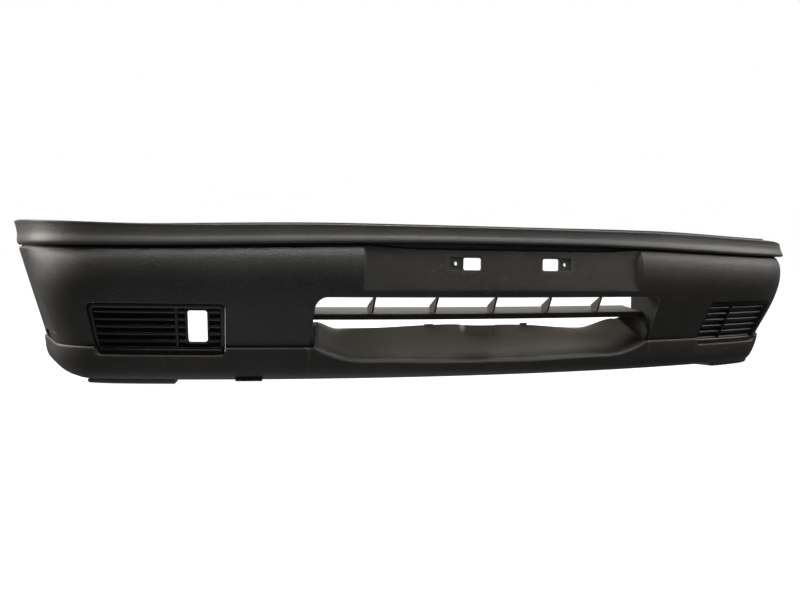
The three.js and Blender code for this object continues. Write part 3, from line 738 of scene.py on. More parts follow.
def bar_tree():
    """Sweeps a bar with round corners along every line of a mesh."""
    tree, given, result = node_tree("bars_along_lines", [
        ("Deep", "NodeSocketFloat", 0.01), ("Tall", "NodeSocketFloat", 0.005),
        ("Corner", "NodeSocketFloat", 0.001), ("Lean", "NodeSocketFloat", 0.0),
        ("Finish", "NodeSocketMaterial", None),
    ])
    _, upright, lean, sweep, _, paint = chained(tree, given, [
        "GeometryNodeMeshToCurve", "GeometryNodeSetCurveNormal", "GeometryNodeSetCurveTilt",
        "GeometryNodeCurveToMesh", "GeometryNodeRealizeInstances", "GeometryNodeSetMaterial",
    ], result)
    upright.mode = "Z_UP"
    profile = tree.nodes.new("GeometryNodeCurvePrimitiveQuadrilateral")
    rounded = tree.nodes.new("GeometryNodeFilletCurve")
    rounded.mode = "POLY"
    rounded.inputs["Count"].default_value = 3
    tree.links.new(given.outputs["Deep"], profile.inputs["Width"])
    tree.links.new(given.outputs["Tall"], profile.inputs["Height"])
    tree.links.new(profile.outputs[0], rounded.inputs[0])
    tree.links.new(given.outputs["Corner"], rounded.inputs["Radius"])
    tree.links.new(rounded.outputs[0], sweep.inputs["Profile Curve"])
    sweep.inputs["Fill Caps"].default_value = True
    tree.links.new(given.outputs["Lean"], lean.inputs["Tilt"])
    tree.links.new(given.outputs["Finish"], paint.inputs["Material"])
    return tree


def grown(name, base, tree, values, sharp_angle=38.0):
    """The base mesh object run through a geometry tree, as a plain mesh object."""
    modifier = base.modifiers.new("grow", "NODES")
    modifier.node_group = tree
    for item in tree.interface.items_tree:
        if item.item_type == "SOCKET" and item.in_out == "INPUT" and item.name in values:
            modifier[item.identifier] = values[item.name]
    bpy.context.view_layer.update()
    depsgraph = bpy.context.evaluated_depsgraph_get()
    mesh = bpy.data.meshes.new_from_object(base.evaluated_get(depsgraph))
    base.modifiers.remove(modifier)
    bpy.data.objects.remove(base)
    mesh.name = name
    shaded(mesh, sharp_angle)
    return linked(name, mesh)


def point_cloud(name, places, axes):
    """A mesh of loose points that carry an axis each."""
    made = mesh_object(name, to_metres(places), [], [])
    attribute = made.data.attributes.new("axis", "FLOAT_VECTOR", "POINT")
    attribute.data.foreach_set("vector", np.asarray(axes, np.float32).ravel())
    return made


def lines(name, paths):
    """A mesh of polylines."""
    points, edges = [], []
    for path in paths:
        first = len(points)
        points += to_metres(path).tolist()
        edges += [(first + k, first + k + 1) for k in range(len(path) - 1)]
    return mesh_object(name, points, edges, [])


def turned_shape(name, profile, segments=24):
    """A small turned piece about its own +Z, in metres, used as the shape that a tree repeats."""
    rings = np.array(lathe_rings(profile, segments)) * MM
    size = segments
    faces = [tuple(range(size))[::-1], tuple((len(rings) - 1) * size + i for i in range(size))]
    for near in range(0, (len(rings) - 1) * size, size):
        for i in range(size):
            j = (i + 1) % size
            faces.append((near + i, near + j, near + size + j, near + size + i))
    made = mesh_object(name, rings.reshape(-1, 3), [], faces)
    made.data.validate()
    return made


def joined(name, pieces):
    """Several objects' meshes as one object."""
    target = pieces[0]
    with bpy.context.temp_override(active_object=target, object=target, selected_editable_objects=pieces):
        bpy.ops.object.join()
    target.name = name
    target.data.name = name
    return target


def fitted(piece, material, slot, *nodes):
    """Gives a piece its finish and its body, and hides the nodes that it stands for."""
    piece.data.materials.clear()
    piece.data.materials.append(material)
    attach(piece, "root")
    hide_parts(*nodes)
    return piece


def inward(s):
    """Unit vector from the outer face into the cover at arc length s."""
    step = placed(s, -1.0, 0.0) - placed(s, 0.0, 0.0)
    return step / np.linalg.norm(step)


# ---------------------------------------------------------------- the skin
def skin_face(s, w):
    """The skin's profile: full on the front, less crowned round the corners and straight on the wings."""
    along = np.abs(s)
    crown = 8.0 * smooth(110, 235, w) * smooth(720, 840, along)
    straight = WING_TOP_DEPTH + (w - 240) * WING_LEAN
    share = smooth(800, 1010, along)
    return (skin_offset(w) - crown) * (1 - share) + straight * share


def rectangle(hole, side):
    """Centre, half sizes and corner radius of a plate hole or pocket on one side."""
    return HOLE_CENTRE + side * hole["x"], hole["z"], hole["half"], hole["tall"], hole["corner"]


def face_depth(s, w):
    """Distance of the skin's outer face in front of the plan curve, up to the edge of the groove."""
    z = w + skin_lift(s, w)
    over = np.clip(w - FACE_TOP, 0, LIP_TOP - FACE_TOP) / (LIP_TOP - FACE_TOP)
    face = skin_face(s, w)
    skin = face - SHOULDER_LEAN * over + (GROOVE_DEPTH + SHOULDER_LEAN - np.minimum(face, 0)) * over ** 4
    end_wall = skin - RECESS_SLOPE * (RECESS_HALF - np.abs(s - RECESS_CENTRE))
    floor = RECESS_FACE + (GROOVE_DEPTH - RECESS_FACE) * np.clip((z - recess_top(s)) / SHOULDER, 0, 1) ** 1.4
    depth = soft_min(skin, soft_max(floor, end_wall, 0.9), 0.8)
    for side in (-1, 1):
        pocket = rounded_distance(s, z, *rectangle(POCKET, side))
        depth = depth - POCKET["depth"] * smooth(0.3, -0.3, pocket)
    return np.where(w > FACE_TOP, np.maximum(depth, GROOVE_DEPTH), depth)


def opening_distance(s, w):
    spot = placed(s, face_depth(s, w), w + skin_lift(s, w))
    middle = OPENING_TOP_Z / 2 - 60
    return rounded_distance(spot[..., 0], spot[..., 2], 0, middle, OPENING_HALF, OPENING_TOP_Z - middle,
                            OPENING_CORNER)


def grille_distance(s, z, grow=GAP):
    """Signed distance to a grille's outline, let out a little."""
    box = (GRILLE_CENTRE, GRILLE_MIDDLE, GRILLE_HALF, GRILLE_TALL)
    return rounded_distance(np.abs(s), z, *box, GRILLE["corner"]) - grow


def skin_holes(s, w):
    """Signed distances to the skin's openings, each with the radius of its lip."""
    z = w + skin_lift(s, w)
    hole = PLATE_HOLE
    along = np.abs(s)
    beside = np.abs(s - HOLE_CENTRE)
    return [
        (opening_distance(s, w), 2.0),
        (grille_distance(s, z), 1.4),
        (rounded_distance(beside, z, hole["x"], hole["z"], hole["half"], hole["tall"], hole["corner"]), 0.8),
        (np.hypot(beside - PLATE_SCREW["x"], z - PLATE_SCREW["z"]) - PLATE_SCREW["radius"], 0.5),
        (z - SEAM_Z - GAP, 1.5),
        (WING_END - along, END_LIP),
    ]


def skin_wall(s, w, sunk):
    """Points of the skin, sunk behind its outer face. Above LIP_TOP, w runs up the groove and back."""
    corner, rise, turn = 3.5, 12.0, 4.0
    top, foot = flange_height(s), groove_height(s) + 1
    d = face_depth(s, w) - sunk
    z = w + skin_lift(s, w)
    q = w - LIP_TOP
    climbing = q > 0
    z = np.where(climbing, foot + (top - corner - foot) * np.clip(q / rise, 0, 1), z)
    d = np.where(climbing, GROOVE_DEPTH - sunk, d)
    angle = np.clip((q - rise) / turn, 0, 1) * math.pi / 2
    turning = q > rise
    d = np.where(turning, GROOVE_DEPTH - corner + (corner - sunk) * np.cos(angle), d)
    z = np.where(turning, top - corner + (corner - sunk) * np.sin(angle), z)
    back = np.clip((q - rise - turn) / 30.0, 0, 1)
    flat = q > rise + turn
    d = np.where(flat, GROOVE_DEPTH - corner + back * (FLANGE_REAR - GROOVE_DEPTH + corner), d)
    z = np.where(flat, top + back - sunk, z)
    return placed(s, d, z)


def on_profile(outline):
    """An outline given by s and real height, as s and unstretched height."""
    return [(s, float(nominal(s, z))) for s, z in outline]


def in_opening(outline):
    """An outline given by X and real height, as s and unstretched height."""
    result = []
    for x, z in outline:
        s = x
        for _ in range(3):
            w = float(nominal(s, z))
            s = float(arc_at(x, float(face_depth(np.array(s), np.array(w)))))
        result.append((s, w))
    return result


def skin_creases(columns):
    """Lines that the skin's net has to follow: round each opening, then round the plate recess."""
    foot = SEAM_Z + GAP
    creases = []
    for grow in (0.0, 0.15, 0.5, 1.1, 2.0):
        arch = in_opening(doorway(0, OPENING_HALF, foot, OPENING_TOP_Z, OPENING_CORNER, grow))
        creases.append((arch, False))
    for side in (-1, 1):
        for grow in (0.0, 0.2, 0.6, 1.2, 2.2):
            grille = (side * GRILLE_CENTRE, GRILLE_HALF, foot, GRILLE["high"], GRILLE["corner"])
            creases.append((on_profile(doorway(*grille, grow + GAP)), False))
        for hole, steps in ((PLATE_HOLE, (0.0, 0.1, 0.35, 0.8)), (POCKET, (-0.3, 0.0, 0.3))):
            creases += [(on_profile(pane(*rectangle(hole, side), grow)), True) for grow in steps]
        screw_x = HOLE_CENTRE + side * PLATE_SCREW["x"]
        for grow in (0.0, 0.15, 0.5):
            ring = corner_arc(screw_x, PLATE_SCREW["z"], PLATE_SCREW["radius"] + grow, 0, 345, 24)
            creases.append((on_profile(ring), True))
        for shift in (1.2, 0.5, -0.1, -0.8):
            line = [(RECESS_CENTRE + side * (RECESS_HALF + shift), z) for z in np.arange(184, 240, 6.0)]
            creases.append((on_profile(line), False))
        for shift in (-1.4, -0.6, 0.0, 0.7, 1.5):
            line = []
            for z in np.arange(184, 240, 5.0):
                w = float(nominal(RECESS_HALF, z))
                width = (float(skin_offset(w)) - RECESS_FACE) / RECESS_SLOPE
                line.append((RECESS_CENTRE + side * (RECESS_HALF - width - shift), z))
            creases.append((on_profile(line), False))
    inside = [float(s) for s in columns if abs(s - RECESS_CENTRE) < RECESS_HALF - 14]
    for shift in (-2.2, -1.2, -0.4, 0.3, 1.0, 1.8, 2.8, 4.0, 5.0):
        line = [(s, float(recess_top(s)) + shift) for s in inside]
        creases.append((on_profile(line), False))
    for height in (166.0, 167.0, 167.8, 168.4, 169.0, 169.8, 171.0):
        creases.append((on_profile([(s, height) for s in inside]), False))
    for side in (-1, 1):
        beyond = [float(s) for s in columns if (s - RECESS_CENTRE) * side > RECESS_HALF + 4]
        for down in (0.25, 0.6, 1.0, 1.6, 2.4, 3.4, 4.6, 6.2, 8.4):
            creases.append(([(s, LIP_TOP - down) for s in beyond], False))
    return creases


def make_skin(body):
    columns = column_stations()
    low = SEAM_Z + GAP
    rows = [low, low + 0.25, low + 0.7, low + 1.5, low + 3]
    rows += list(np.arange(77, 238, 6.0)) + [LIP_TOP]
    rows += [LIP_TOP + q for q in (1, 6, 12, 13, 14, 15, 16, 26, 38, 45, 46)]
    creases = skin_creases(columns)
    near_end = np.arange(RECESS_HALF - 14, RECESS_HALF + 4, 1.2)
    extra = []
    for side in (-1, 1):
        for z in (*np.arange(165, 183.0, 1.2), *np.arange(240, 256, 1.2)):
            extra += [(RECESS_CENTRE + side * x, z) for x in near_end]
    creases += [([point], False) for point in on_profile(extra) if point[1] < LIP_TOP - 0.1]

    def keep(s, w):
        solid = np.ones(len(s), bool)
        for distance, _ in skin_holes(s, w)[:4]:
            solid &= (distance > 0) | (w > LIP_TOP)
        return solid

    def outer(s, w):
        lip = np.zeros(len(s))
        for distance, radius in skin_holes(s, w):
            turned_away = roundover(distance, radius)
            lip = np.maximum(lip, np.where((w > LIP_TOP) & (radius != END_LIP), 0, turned_away))
        return skin_wall(s, w, lip)

    def inner(s, w):
        return skin_wall(s, w, WALL)

    trimmed_sheet(body, columns, rows, creases, keep, 2.0, outer, inner)


def make_tunnel(body):
    """Side walls and ledge round the intake, behind the skin."""
    low, high = SEAM_Z + GAP, OPENING_TOP_Z + WALL
    s = arc_at(OPENING_HALF, -20)
    edge = [(float(placed(s, skin_offset(z) - 2.3, z)[1]), z) for z in (high, 130, 100, low)]
    outline = filleted([(INTAKE_REAR_Y, low), (INTAKE_REAR_Y, high)] + edge, [6, 6, 0.1, 0.1, 0.1, 0.1])
    for side in (-1, 1):
        body.loft(across(outline, side * (OPENING_HALF - 0.4 + WALL / 2), WALL))
    half = OPENING_HALF + 2
    section = filleted([(skin_offset(OPENING_TOP_Z) - 2.4, OPENING_TOP_Z), (LEDGE_REAR, OPENING_TOP_Z),
                        (LEDGE_REAR, high), (skin_offset(high) - 1.2, high)], [0.1, 1.2, 1.2, 0.1])
    swept(body, np.linspace(-half, half, 61), lambda s: section)


def hoop(side, cx, cz, half, tall, corner, grow, long_count=36, tall_count=24):
    """A closed outline with round corners whose number of points doesn't depend on its size."""
    w, h, r = half + grow, tall + grow, max(corner + grow, 0.4)
    points = []
    signs = ((1, 1), (-1, 1), (-1, -1), (1, -1))
    for k, (sx, sz) in enumerate(signs):
        points += corner_arc(cx + sx * (w - r), cz + sz * (h - r), r, 90 * k, 90 * k + 90, 6)
        nx, nz = signs[(k + 1) % 4]
        ahead = corner_arc(cx + nx * (w - r), cz + nz * (h - r), r, 90 * k + 90, 90 * k + 90, 1)[0]
        here = points[-1]
        count = tall_count if k % 2 else long_count
        steps = [(i + 1) / (count + 1) for i in range(count)]
        points += [(here[0] + (ahead[0] - here[0]) * t, here[1] + (ahead[1] - here[1]) * t) for t in steps]
    return np.array([(side * s, z) for s, z in points])


def grille_hoop(side, grow):
    return hoop(side, GRILLE_CENTRE, GRILLE_MIDDLE, GRILLE_HALF, GRILLE_TALL, GRILLE["corner"], grow)


def collar(body, side, low, high, front):
    """A wall behind the skin round the part of a grille that lies between two heights."""
    near, far = grille_hoop(side, GAP), grille_hoop(side, GAP + WALL)
    inside = (near[:, 1] > low) & (near[:, 1] < high)
    first = next(k for k in range(len(near)) if inside[k] and not inside[k - 1])
    order = [(first + k) % len(near) for k in range(int(inside.sum()))]
    order = [first - 1] + order + [(order[-1] + 1) % len(near)]
    rings = []
    for k in order:
        s, z = near[k][0], np.clip(near[k][1], low, high)
        t, h = far[k][0], np.clip(far[k][1], low, high)
        rings.append([
            placed(s, front(z), z), placed(s, skin_offset(z) - COLLAR_DEPTH, z),
            placed(t, skin_offset(h) - COLLAR_DEPTH, h), placed(t, front(h), h),
        ])
    body.loft(rings)


# ---------------------------------------------------------------- the moulding and the rail
# The moulding's face: distance in front of the plan curve and share of its height.
STRIP_FACE = [
    (1.5, 0.0), (5.4, 0.06), (STRIP_BULGE, 0.15), (5.0, 0.28), (3.1, 0.42), (2.5, 0.56), (2.6, 0.8),
    (3.9, 1.0),
]


def strip_section(s):
    """The moulding: a bead along its foot, a hollow above it and a lip along its top."""
    low = float(groove_height(s)) + 2.5
    top = float(strip_top(s))
    back = GROOVE_DEPTH + GAP
    lean = 9.0 * float(smooth(800, 1000, -s))
    tuck = 6.0 * float(smooth(700, 820, s))
    outline = [(back, low + 1)]
    for d, share in STRIP_FACE:
        outline.append((d - lean * (1 - share) - tuck * share ** 2, low + share * (top - low)))
    outline.append((back, top))
    return filleted(outline, [1.5, 2.2, 2, 3, 4, 4, 4, 4, 2.6, 1.5])


def rail_section(s):
    """The rail: a foot on the flange, and an upstand that shows a little above the moulding."""
    base = float(flange_height(s)) + 1 + GAP
    peek = 5.0 + 2.0 * float(smooth(0, 500, s))
    top = min(RAIL_TOP_Z, STRIP_TOP_Z + peek - STRIP_DROP * float(smooth(300, 750, abs(s))))
    outline = [
        (FLANGE_REAR + 1, base), (FLANGE_REAR + 20, base), (FLANGE_REAR + 20, base + 2),
        (FLANGE_REAR + 9, base + 2), (FLANGE_REAR + 9, top), (FLANGE_REAR + 7, top),
        (FLANGE_REAR + 7, base + 2), (FLANGE_REAR + 1, base + 2),
    ]
    return filleted(outline, [0.5, 0.5, 0.5, 0.8, 0.7, 0.7, 0.8, 0.5], 3)


def pinched(section, share):
    """A section drawn in a little, for a rounded end."""
    flat = np.array(section)
    middle = (flat.min(axis=0) + flat.max(axis=0)) / 2
    away = flat - middle
    length = np.maximum(np.linalg.norm(away, axis=1, keepdims=True), 0.1)
    return middle + away * np.maximum(1 - share / length, 0.05)


def rounded_sweep(body, start, end, section, radius, stations=None):
    """A section swept along the cover with its end edges rounded."""
    if stations is None:
        stations = column_stations()
    inside = [float(s) for s in stations if start + radius * 1.5 < s < end - radius * 1.5]
    steps = [(radius * (1 - math.cos(a)), radius * (1 - math.sin(a))) for a in np.linspace(0, math.pi / 2, 5)]
    ring = lambda s, share: placed(s, *pinched(section(s), share).T)
    rings = [ring(start + along, share) for along, share in steps]
    rings += [ring(s, 0.0) for s in inside]
    rings += [ring(end - along, share) for along, share in reversed(steps)]
    body.loft(rings)


# ---------------------------------------------------------------- the valance
def band_round(s, z):
    """How much further in the band lies behind the corners, where its foot tucks under."""
    foot = 14.0 * (np.clip(50 - z, 0, 42) / 42) ** 2 * smooth(770, 900, np.abs(s))
    return foot + 8.5 * smooth(10, 60, z) * smooth(850, 1000, np.abs(s))


def band_path():
    """The band's outer face as points and normals, from its foot's rear edge to the top of its upstand."""
    face = [(float(band_offset(z)), float(z)) for z in BAND_ROWS]
    ledge = [(-44.55, 64.6), (-44.9, 65.9), (-45.7, 66.7), (-46.9, 67.0), (-50.0, 67.0), (-52.2, 67.0)]
    upstand = [(-51.6, 69.0), (-47.6, 76.0), (-43.9, 83.0), (-41.6, 88.0)]
    path = np.array(BAND_FOOT + face + ledge + upstand)
    step = np.gradient(path, axis=0)
    normal = np.stack([step[:, 1], -step[:, 0]], axis=-1)
    normal /= np.linalg.norm(normal, axis=1, keepdims=True)
    return path, normal, len(BAND_FOOT) + len(face)


def scoop_lip(x):
    return 40 + 3.5 * smooth(60, 250, np.abs(x)) + 23.5 * np.clip((np.abs(x) - 262) / 98, 0, 1) ** 2


def scoop_rear(x):
    """Height of the scoop's rear edge: a wavy cut, higher at both ends."""
    height = 99 - 5 * smooth(60, 230, np.abs(x)) - 3 * smooth(100, 225, x) + 2 * smooth(0, 60, -x)
    return height + 13 * smooth(288, 333, -x) + 18 * smooth(232, 315, x)


def scoop_rear_y(x):
    """The rear edge in plan, with its notch."""
    return SCOOP_REAR_Y + 1.2 * np.sin(x / 31) * smooth(40, 80, np.abs(x))


def scoop_notch(x):
    return 14 * smooth(-40, -31, x) * smooth(39, 31, x)


def make_bands(body):
    """The band on both sides of the scoop, with the grille's trough cut into its top."""
    path, normal, ledge_from = band_path()
    rim = BAND_ROWS[-1]
    rows = np.arange(len(path), dtype=float)

    def at(t, values):
        return np.interp(t, rows, values)

    def wall(s, t, sunk):
        d, z = at(t, path[:, 0]), at(t, path[:, 1])
        nd, nz = at(t, normal[:, 0]), at(t, normal[:, 1])
        length = np.hypot(nd, nz)
        return placed(s, d - sunk * nd / length - band_round(s, z), z - sunk * nz / length)

    for side in (-1, 1):
        start, end = sorted((side * OPENING_HALF, side * BAND_END))
        columns = [s for s in column_stations() if start + 3 < s < end - 3]
        columns = sorted(columns + [start, end, side * (BAND_END - 0.4), side * (BAND_END - 1.2)])
        centre = side * GRILLE_CENTRE
        creases = []
        for grow in (0.0, 0.2, 0.6, 1.2, 2.2):
            cut = trough(centre, GRILLE_HALF, rim, GRILLE["low"], GRILLE["corner"], grow + GAP)
            line = [(s, float(np.interp(z, path[:ledge_from, 1], rows[:ledge_from]))) for s, z in cut]
            line = [(line[0][0], rows[-1])] + [(line[0][0], t) for t in rows[ledge_from:-1][::-1]] + line
            line += [(line[-1][0], t) for t in rows[ledge_from:]]
            creases.append((line, False))

        def gap(s, t):
            z = np.where(t > ledge_from - 1, rim - 2, np.minimum(at(t, path[:, 1]), rim))
            return grille_distance(s, z)

        def outer(s, t):
            return wall(s, t, np.maximum(roundover(gap(s, t), 2.2), roundover(BAND_END - np.abs(s), END_LIP)))

        def inner(s, t):
            return wall(s, t, WALL)

        trimmed_sheet(body, columns, list(rows), creases, lambda s, t: gap(s, t) > 0, 1.1, outer, inner)


def make_scoop(body):
    """The middle of the valance: band, rounded lip and the scoop floor back to its cut edge, in one wall."""
    near_end = np.array([0, 0.004, 0.01, 0.02, 0.035])
    shares = np.concatenate([
        -1 + near_end, np.linspace(-0.95, -0.15, 70), np.linspace(-0.13, 0.13, 40),
        np.linspace(0.15, 0.95, 70), 1 - near_end[::-1],
    ])
    shares_up = (np.array(BAND_ROWS) - BAND_ROWS[0]) / (BAND_ROWS[-1] - BAND_ROWS[0])
    columns = []
    for u in shares:
        s = u * OPENING_HALF
        lip_height = float(scoop_lip(u * (OPENING_HALF - 1)))
        radius = 6.0 - 1.5 * abs(u) ** 8
        points = [placed(s, d, z) for d, z in BAND_FOOT]
        for z in BAND_ROWS[0] + (lip_height - radius - BAND_ROWS[0]) * shares_up:
            points.append(placed(s, band_offset(z), z))
        face = float(band_offset(lip_height - radius))
        for angle in np.radians(np.linspace(15, 90, 6)):
            back, drop = radius * (1 - math.cos(angle)), radius * (1 - math.sin(angle))
            points.append(placed(s, face - back, lip_height - drop))
        start = points[-1]
        rear_x = u * (SCOOP_RIGHT if u > 0 else SCOOP_LEFT)
        rear_y, rear_z = float(scoop_rear_y(rear_x)), float(scoop_rear(rear_x))
        even_z = 94.0 + 20 * abs(u) ** 6
        for v in np.linspace(0, 1, SCOOP_ROWS + 1)[1:]:
            x = start[0] + (rear_x - start[0]) * v
            y = start[1] + (rear_y - start[1]) * v - float(scoop_notch(rear_x)) * max(0.0, v - 0.8) / 0.2
            bowl = 2.5 * math.sin(math.pi * v) * (1 - abs(u) ** 4)
            z = start[2] + (even_z - start[2]) * v ** 1.12 + (rear_z - even_z) * v ** 6 - bowl
            points.append(np.array([x, y, z]))
        columns.append(points)
    outer = np.array(columns)
    along = np.gradient(outer, axis=0)
    down = np.gradient(outer, axis=1)
    normal = np.cross(down, along)
    normal /= np.maximum(np.linalg.norm(normal, axis=2, keepdims=True), 1e-9)
    middle = normal[len(shares) // 2, 10]
    if middle[1] > 0:
        normal = -normal
    body.plate(outer, outer - normal * WALL)
    for side, edge in ((-1, outer[0]), (1, outer[-1])):
        make_web(body, side, edge[-SCOOP_ROWS:])


def make_web(body, side, edge):
    """The wall that rises from the scoop's side edge to the blade's end."""
    count = 9
    rows = []
    for k, foot in enumerate(edge):
        share = k / (len(edge) - 1)
        head_z = max(float(foot[2]) + 5, 112 + 12 * share)
        wall_x = side * (OPENING_HALF - 0.6)
        rows.append([
            [foot[0] + (wall_x - foot[0]) * t, foot[1], foot[2] - 1.2 + (head_z - foot[2] + 1.2) * t ** 1.5]
            for t in np.linspace(0, 1, count)
        ])
    outer = np.array(rows)
    body.plate(outer, outer + np.array([0, 0, -2.5]))


# ---------------------------------------------------------------- grilles
def behind_skin(s, depth, z):
    """Points at a depth behind the skin's plain face."""
    return placed(s, skin_offset(z) - np.asarray(depth, float), z)


def rimmed_frame(body, side, box, width, front, back, rounding):
    """A frame with rounded edges round a box of (inner, outer, low, high), behind the skin."""
    inner, outer, low, high = box
    corner = GRILLE["corner"] if width > 6 else 8.5
    steps = [(0, back), (0, front + rounding), (-0.3 * rounding, front + 0.3 * rounding), (-rounding, front)]
    steps += [(rounding - width, front), (0.3 * rounding - width, front + 0.3 * rounding)]
    steps += [(-width, front + rounding), (-width, back)]
    middle = ((inner + outer) / 2, (low + high) / 2)
    sizes = ((outer - inner) / 2, (high - low) / 2)
    rings = []
    for grow, depth in steps:
        line = hoop(side, *middle, *sizes, corner, grow)
        rings.append(behind_skin(line[:, 0], depth, line[:, 1]))
    body.loft(rings, loop=True)


def long_bar(body, side, start, end, section, rounding=0.8):
    """A bar along the cover: (depth, z) section between two arc lengths, its end edges rounded."""
    low, high = min(side * start, side * end), max(side * start, side * end)
    count = max(3, round((high - low) / 6))

    def at(s, share):
        flat = pinched(section, share)
        return behind_skin(s, flat[:, 0], flat[:, 1])

    rings = [at(low, rounding), at(low + rounding, 0)]
    rings += [at(s, 0) for s in np.linspace(low + rounding, high - rounding, count)[1:-1]]
    rings += [at(high - rounding, 0), at(high, rounding)]
    body.loft(rings)


def upright_bar(body, side, start, end, front, back, low, high):
    """A bar up the grille with a rounded front."""
    section = filleted([(start, back), (start, front), (end, front), (end, back)], [0.1, 1.4, 1.4, 0.1])
    flat = np.array(section)
    rings = [behind_skin(side * flat[:, 0], flat[:, 1], z) for z in np.linspace(low, high, 14)]
    body.loft(rings)


def back_plate(low, high):
    """Section of the plate behind the slats."""
    return filleted([(14, low), (17, low), (17, high), (14, high)], [0.3] * 4, 2)


def make_grille(side, window, sizes, finish):
    """Frame, back plate and lips as one mesh, and slats that a geometry tree sweeps."""
    body = Body()
    inner, outer, low, high = GRILLE["inner"], GRILLE["outer"], GRILLE["low"], GRILLE["high"]
    rim = 8.0
    rimmed_frame(body, side, (inner + GAP, outer - GAP, low + GAP, high - GAP), rim, 3.0, 16.0, 1.2)
    lip = filleted([(16, low + 0.5), (1.2, low + 0.5), (1.0, low + 8), (6, low + 12), (16, low + 12)],
                   [0.1, 1.5, 3.5, 3.0, 0.1])
    long_bar(body, side, inner + 5, outer - 5, lip, 2.0)
    divider = GRILLE["divider"]
    upright_bar(body, side, divider - 3, divider + 3, 4, 15, low + 5, high - 5)
    plate = back_plate(low + 1, high - 1)
    paths = []
    spans = [(inner + rim - 1, divider - 2), (divider + 2, outer - rim + 1)]
    if window:
        start, end = GRILLE_WINDOW["from"], GRILLE_WINDOW["to"]
        bottom, top = GRILLE_WINDOW["low"], GRILLE_WINDOW["high"]
        rimmed_frame(body, side, (start - 4, end + 4, bottom - 4, top + 4), 4.0, 3.5, 17.0, 0.9)
        long_bar(body, side, inner + 1, start - 0.5, plate)
        long_bar(body, side, end + 0.5, outer - 1, plate)
        for z0, z1 in ((low + 1, bottom - 0.5), (top + 0.5, high - 1)):
            long_bar(body, side, start - 1, end + 1, back_plate(z0, z1))
    else:
        long_bar(body, side, inner + 1, outer - 1, plate)
    gap = (high - low) / (SLATS + 1)
    for k in range(SLATS):
        z = high - gap * (k + 1)
        for start, end in spans:
            pieces = [(start, end)]
            crosses = window and start < GRILLE_WINDOW["from"] < end
            if crosses and GRILLE_WINDOW["low"] - 6 < z < GRILLE_WINDOW["high"] + 6:
                pieces = [(start, GRILLE_WINDOW["from"] - 3), (GRILLE_WINDOW["to"] + 3, end)]
            for a, b in pieces:
                stations = np.linspace(a, b, max(2, round((b - a) / 10)))
                paths.append(behind_skin(side * stations, 10.5, np.full(len(stations), z)))
    frame_piece = body.object(f"grille_frame_{'window' if window else 'plain'}")
    values = {
        "Deep": sizes.slat_depth, "Tall": sizes.slat_height, "Corner": sizes.slat_height * 0.42,
        "Lean": SLAT_LEAN * side, "Finish": finish,
    }
    slats = grown("slats", lines("slat_lines", paths), bar_tree(), values)
    name = "louvre_grille_window" if window else "louvre_grille_plain"
    return joined(name, [frame_piece, slats])


# ---------------------------------------------------------------- intake
def swept_across(body, stations, section):
    """A (d, z) section swept along X, which meets the tunnel's walls squarely."""
    flat = np.array(section)
    rings = []
    for x in stations:
        s = arc_at(np.full(len(flat), float(x)), flat[:, 0])
        rings.append(placed(s, flat[:, 0], flat[:, 1]))
    body.loft(rings)


def blade_top(d):
    slope = (BLADE["rear_z"] - BLADE["front_z"]) / (BLADE["front"] - BLADE["rear"])
    return BLADE["front_z"] + (BLADE["front"] - d) * slope


def make_blade():
    body = Body()
    front, rear, front_z = BLADE["front"], BLADE["rear"], BLADE["front_z"]
    rear_z, nose = BLADE["rear_z"], BLADE["nose"]
    section = filleted([
        (front, front_z - 1), (front - 2, front_z), (rear, rear_z), (rear, rear_z - BLADE["tail"]),
        (front - 12, front_z - nose + 1), (front - 1, front_z - nose),
    ], [0.8, 1.0, 1.0, 1.0, 3.0, 0.9])
    half = OPENING_HALF - 2
    swept_across(body, np.linspace(-half, half, 73), section)
    return body.object("intake_blade_moulding")


def make_struts(sizes, finish):
    """One gusset's outline, repeated along the blade from the intake's top."""
    top = OPENING_TOP_Z - GAP
    outline = filleted([
        (54, top), (58, top), (92, 139), (91, blade_top(-91) + 0.6), (70, blade_top(-70) + 0.6),
    ], [1.0, 1.0, 2.0, 1.0, 1.0], 4)
    body = Body()
    body.loft(across(outline, 0, sizes.strut_thickness / MM, 0.5))
    shape = body.object("strut_shape")
    shape.data.transform(Matrix.Translation((0, -FRONT_Y * MM, 0)))
    places = [(k * STRUT_PITCH, placed(k * STRUT_PITCH, 0, 0)[1], 0) for k in range(-2, 3)]
    cloud = point_cloud("strut_points", places, [(0, 0, 1)] * len(places))
    struts = grown("intake_gussets", cloud, repeat_tree(), {"Shape": shape, "Size": 1.0, "Finish": finish})
    bpy.data.objects.remove(shape)
    return struts


# ---------------------------------------------------------------- fixings
def repeated(name, profile, places, axes, finish):
    """A turned piece set on every place, along the axis given for it."""
    shape = turned_shape(f"{name}_shape", profile)
    cloud = point_cloud(f"{name}_points", places, axes)
    made = grown(name, cloud, repeat_tree(), {"Shape": shape, "Size": 1.0, "Finish": finish})
    bpy.data.objects.remove(shape)
    return made


# Turned pieces, as (radius, height) pairs from the seat up.
PAN_HEAD = [
    (4.4, 0), (4.6, 0.25), (4.6, 0.9), (4.2, 1.7), (3.5, 2.5), (2.6, 3.05), (1.9, 3.3), (1.5, 3.2),
    (1.1, 2.2), (0.5, 1.9),
]
PUSH_CLIP = [
    (8.7, 0), (9, 0.3), (9, 1.3), (8.6, 1.9), (6.4, 2.3), (6.2, 1.7), (5.6, 1.7), (5.4, 2.4), (5.2, 4.4),
    (4.6, 5.3), (3, 5.8), (1, 6),
]
GROMMET = [
    (3.5, -0.6), (3.8, -0.9), (5.9, -0.9), (6.2, -0.6), (6.2, 0), (4.3, 0), (4.3, 3.6), (3.8, 3.9),
    (3.5, 3.6),
]


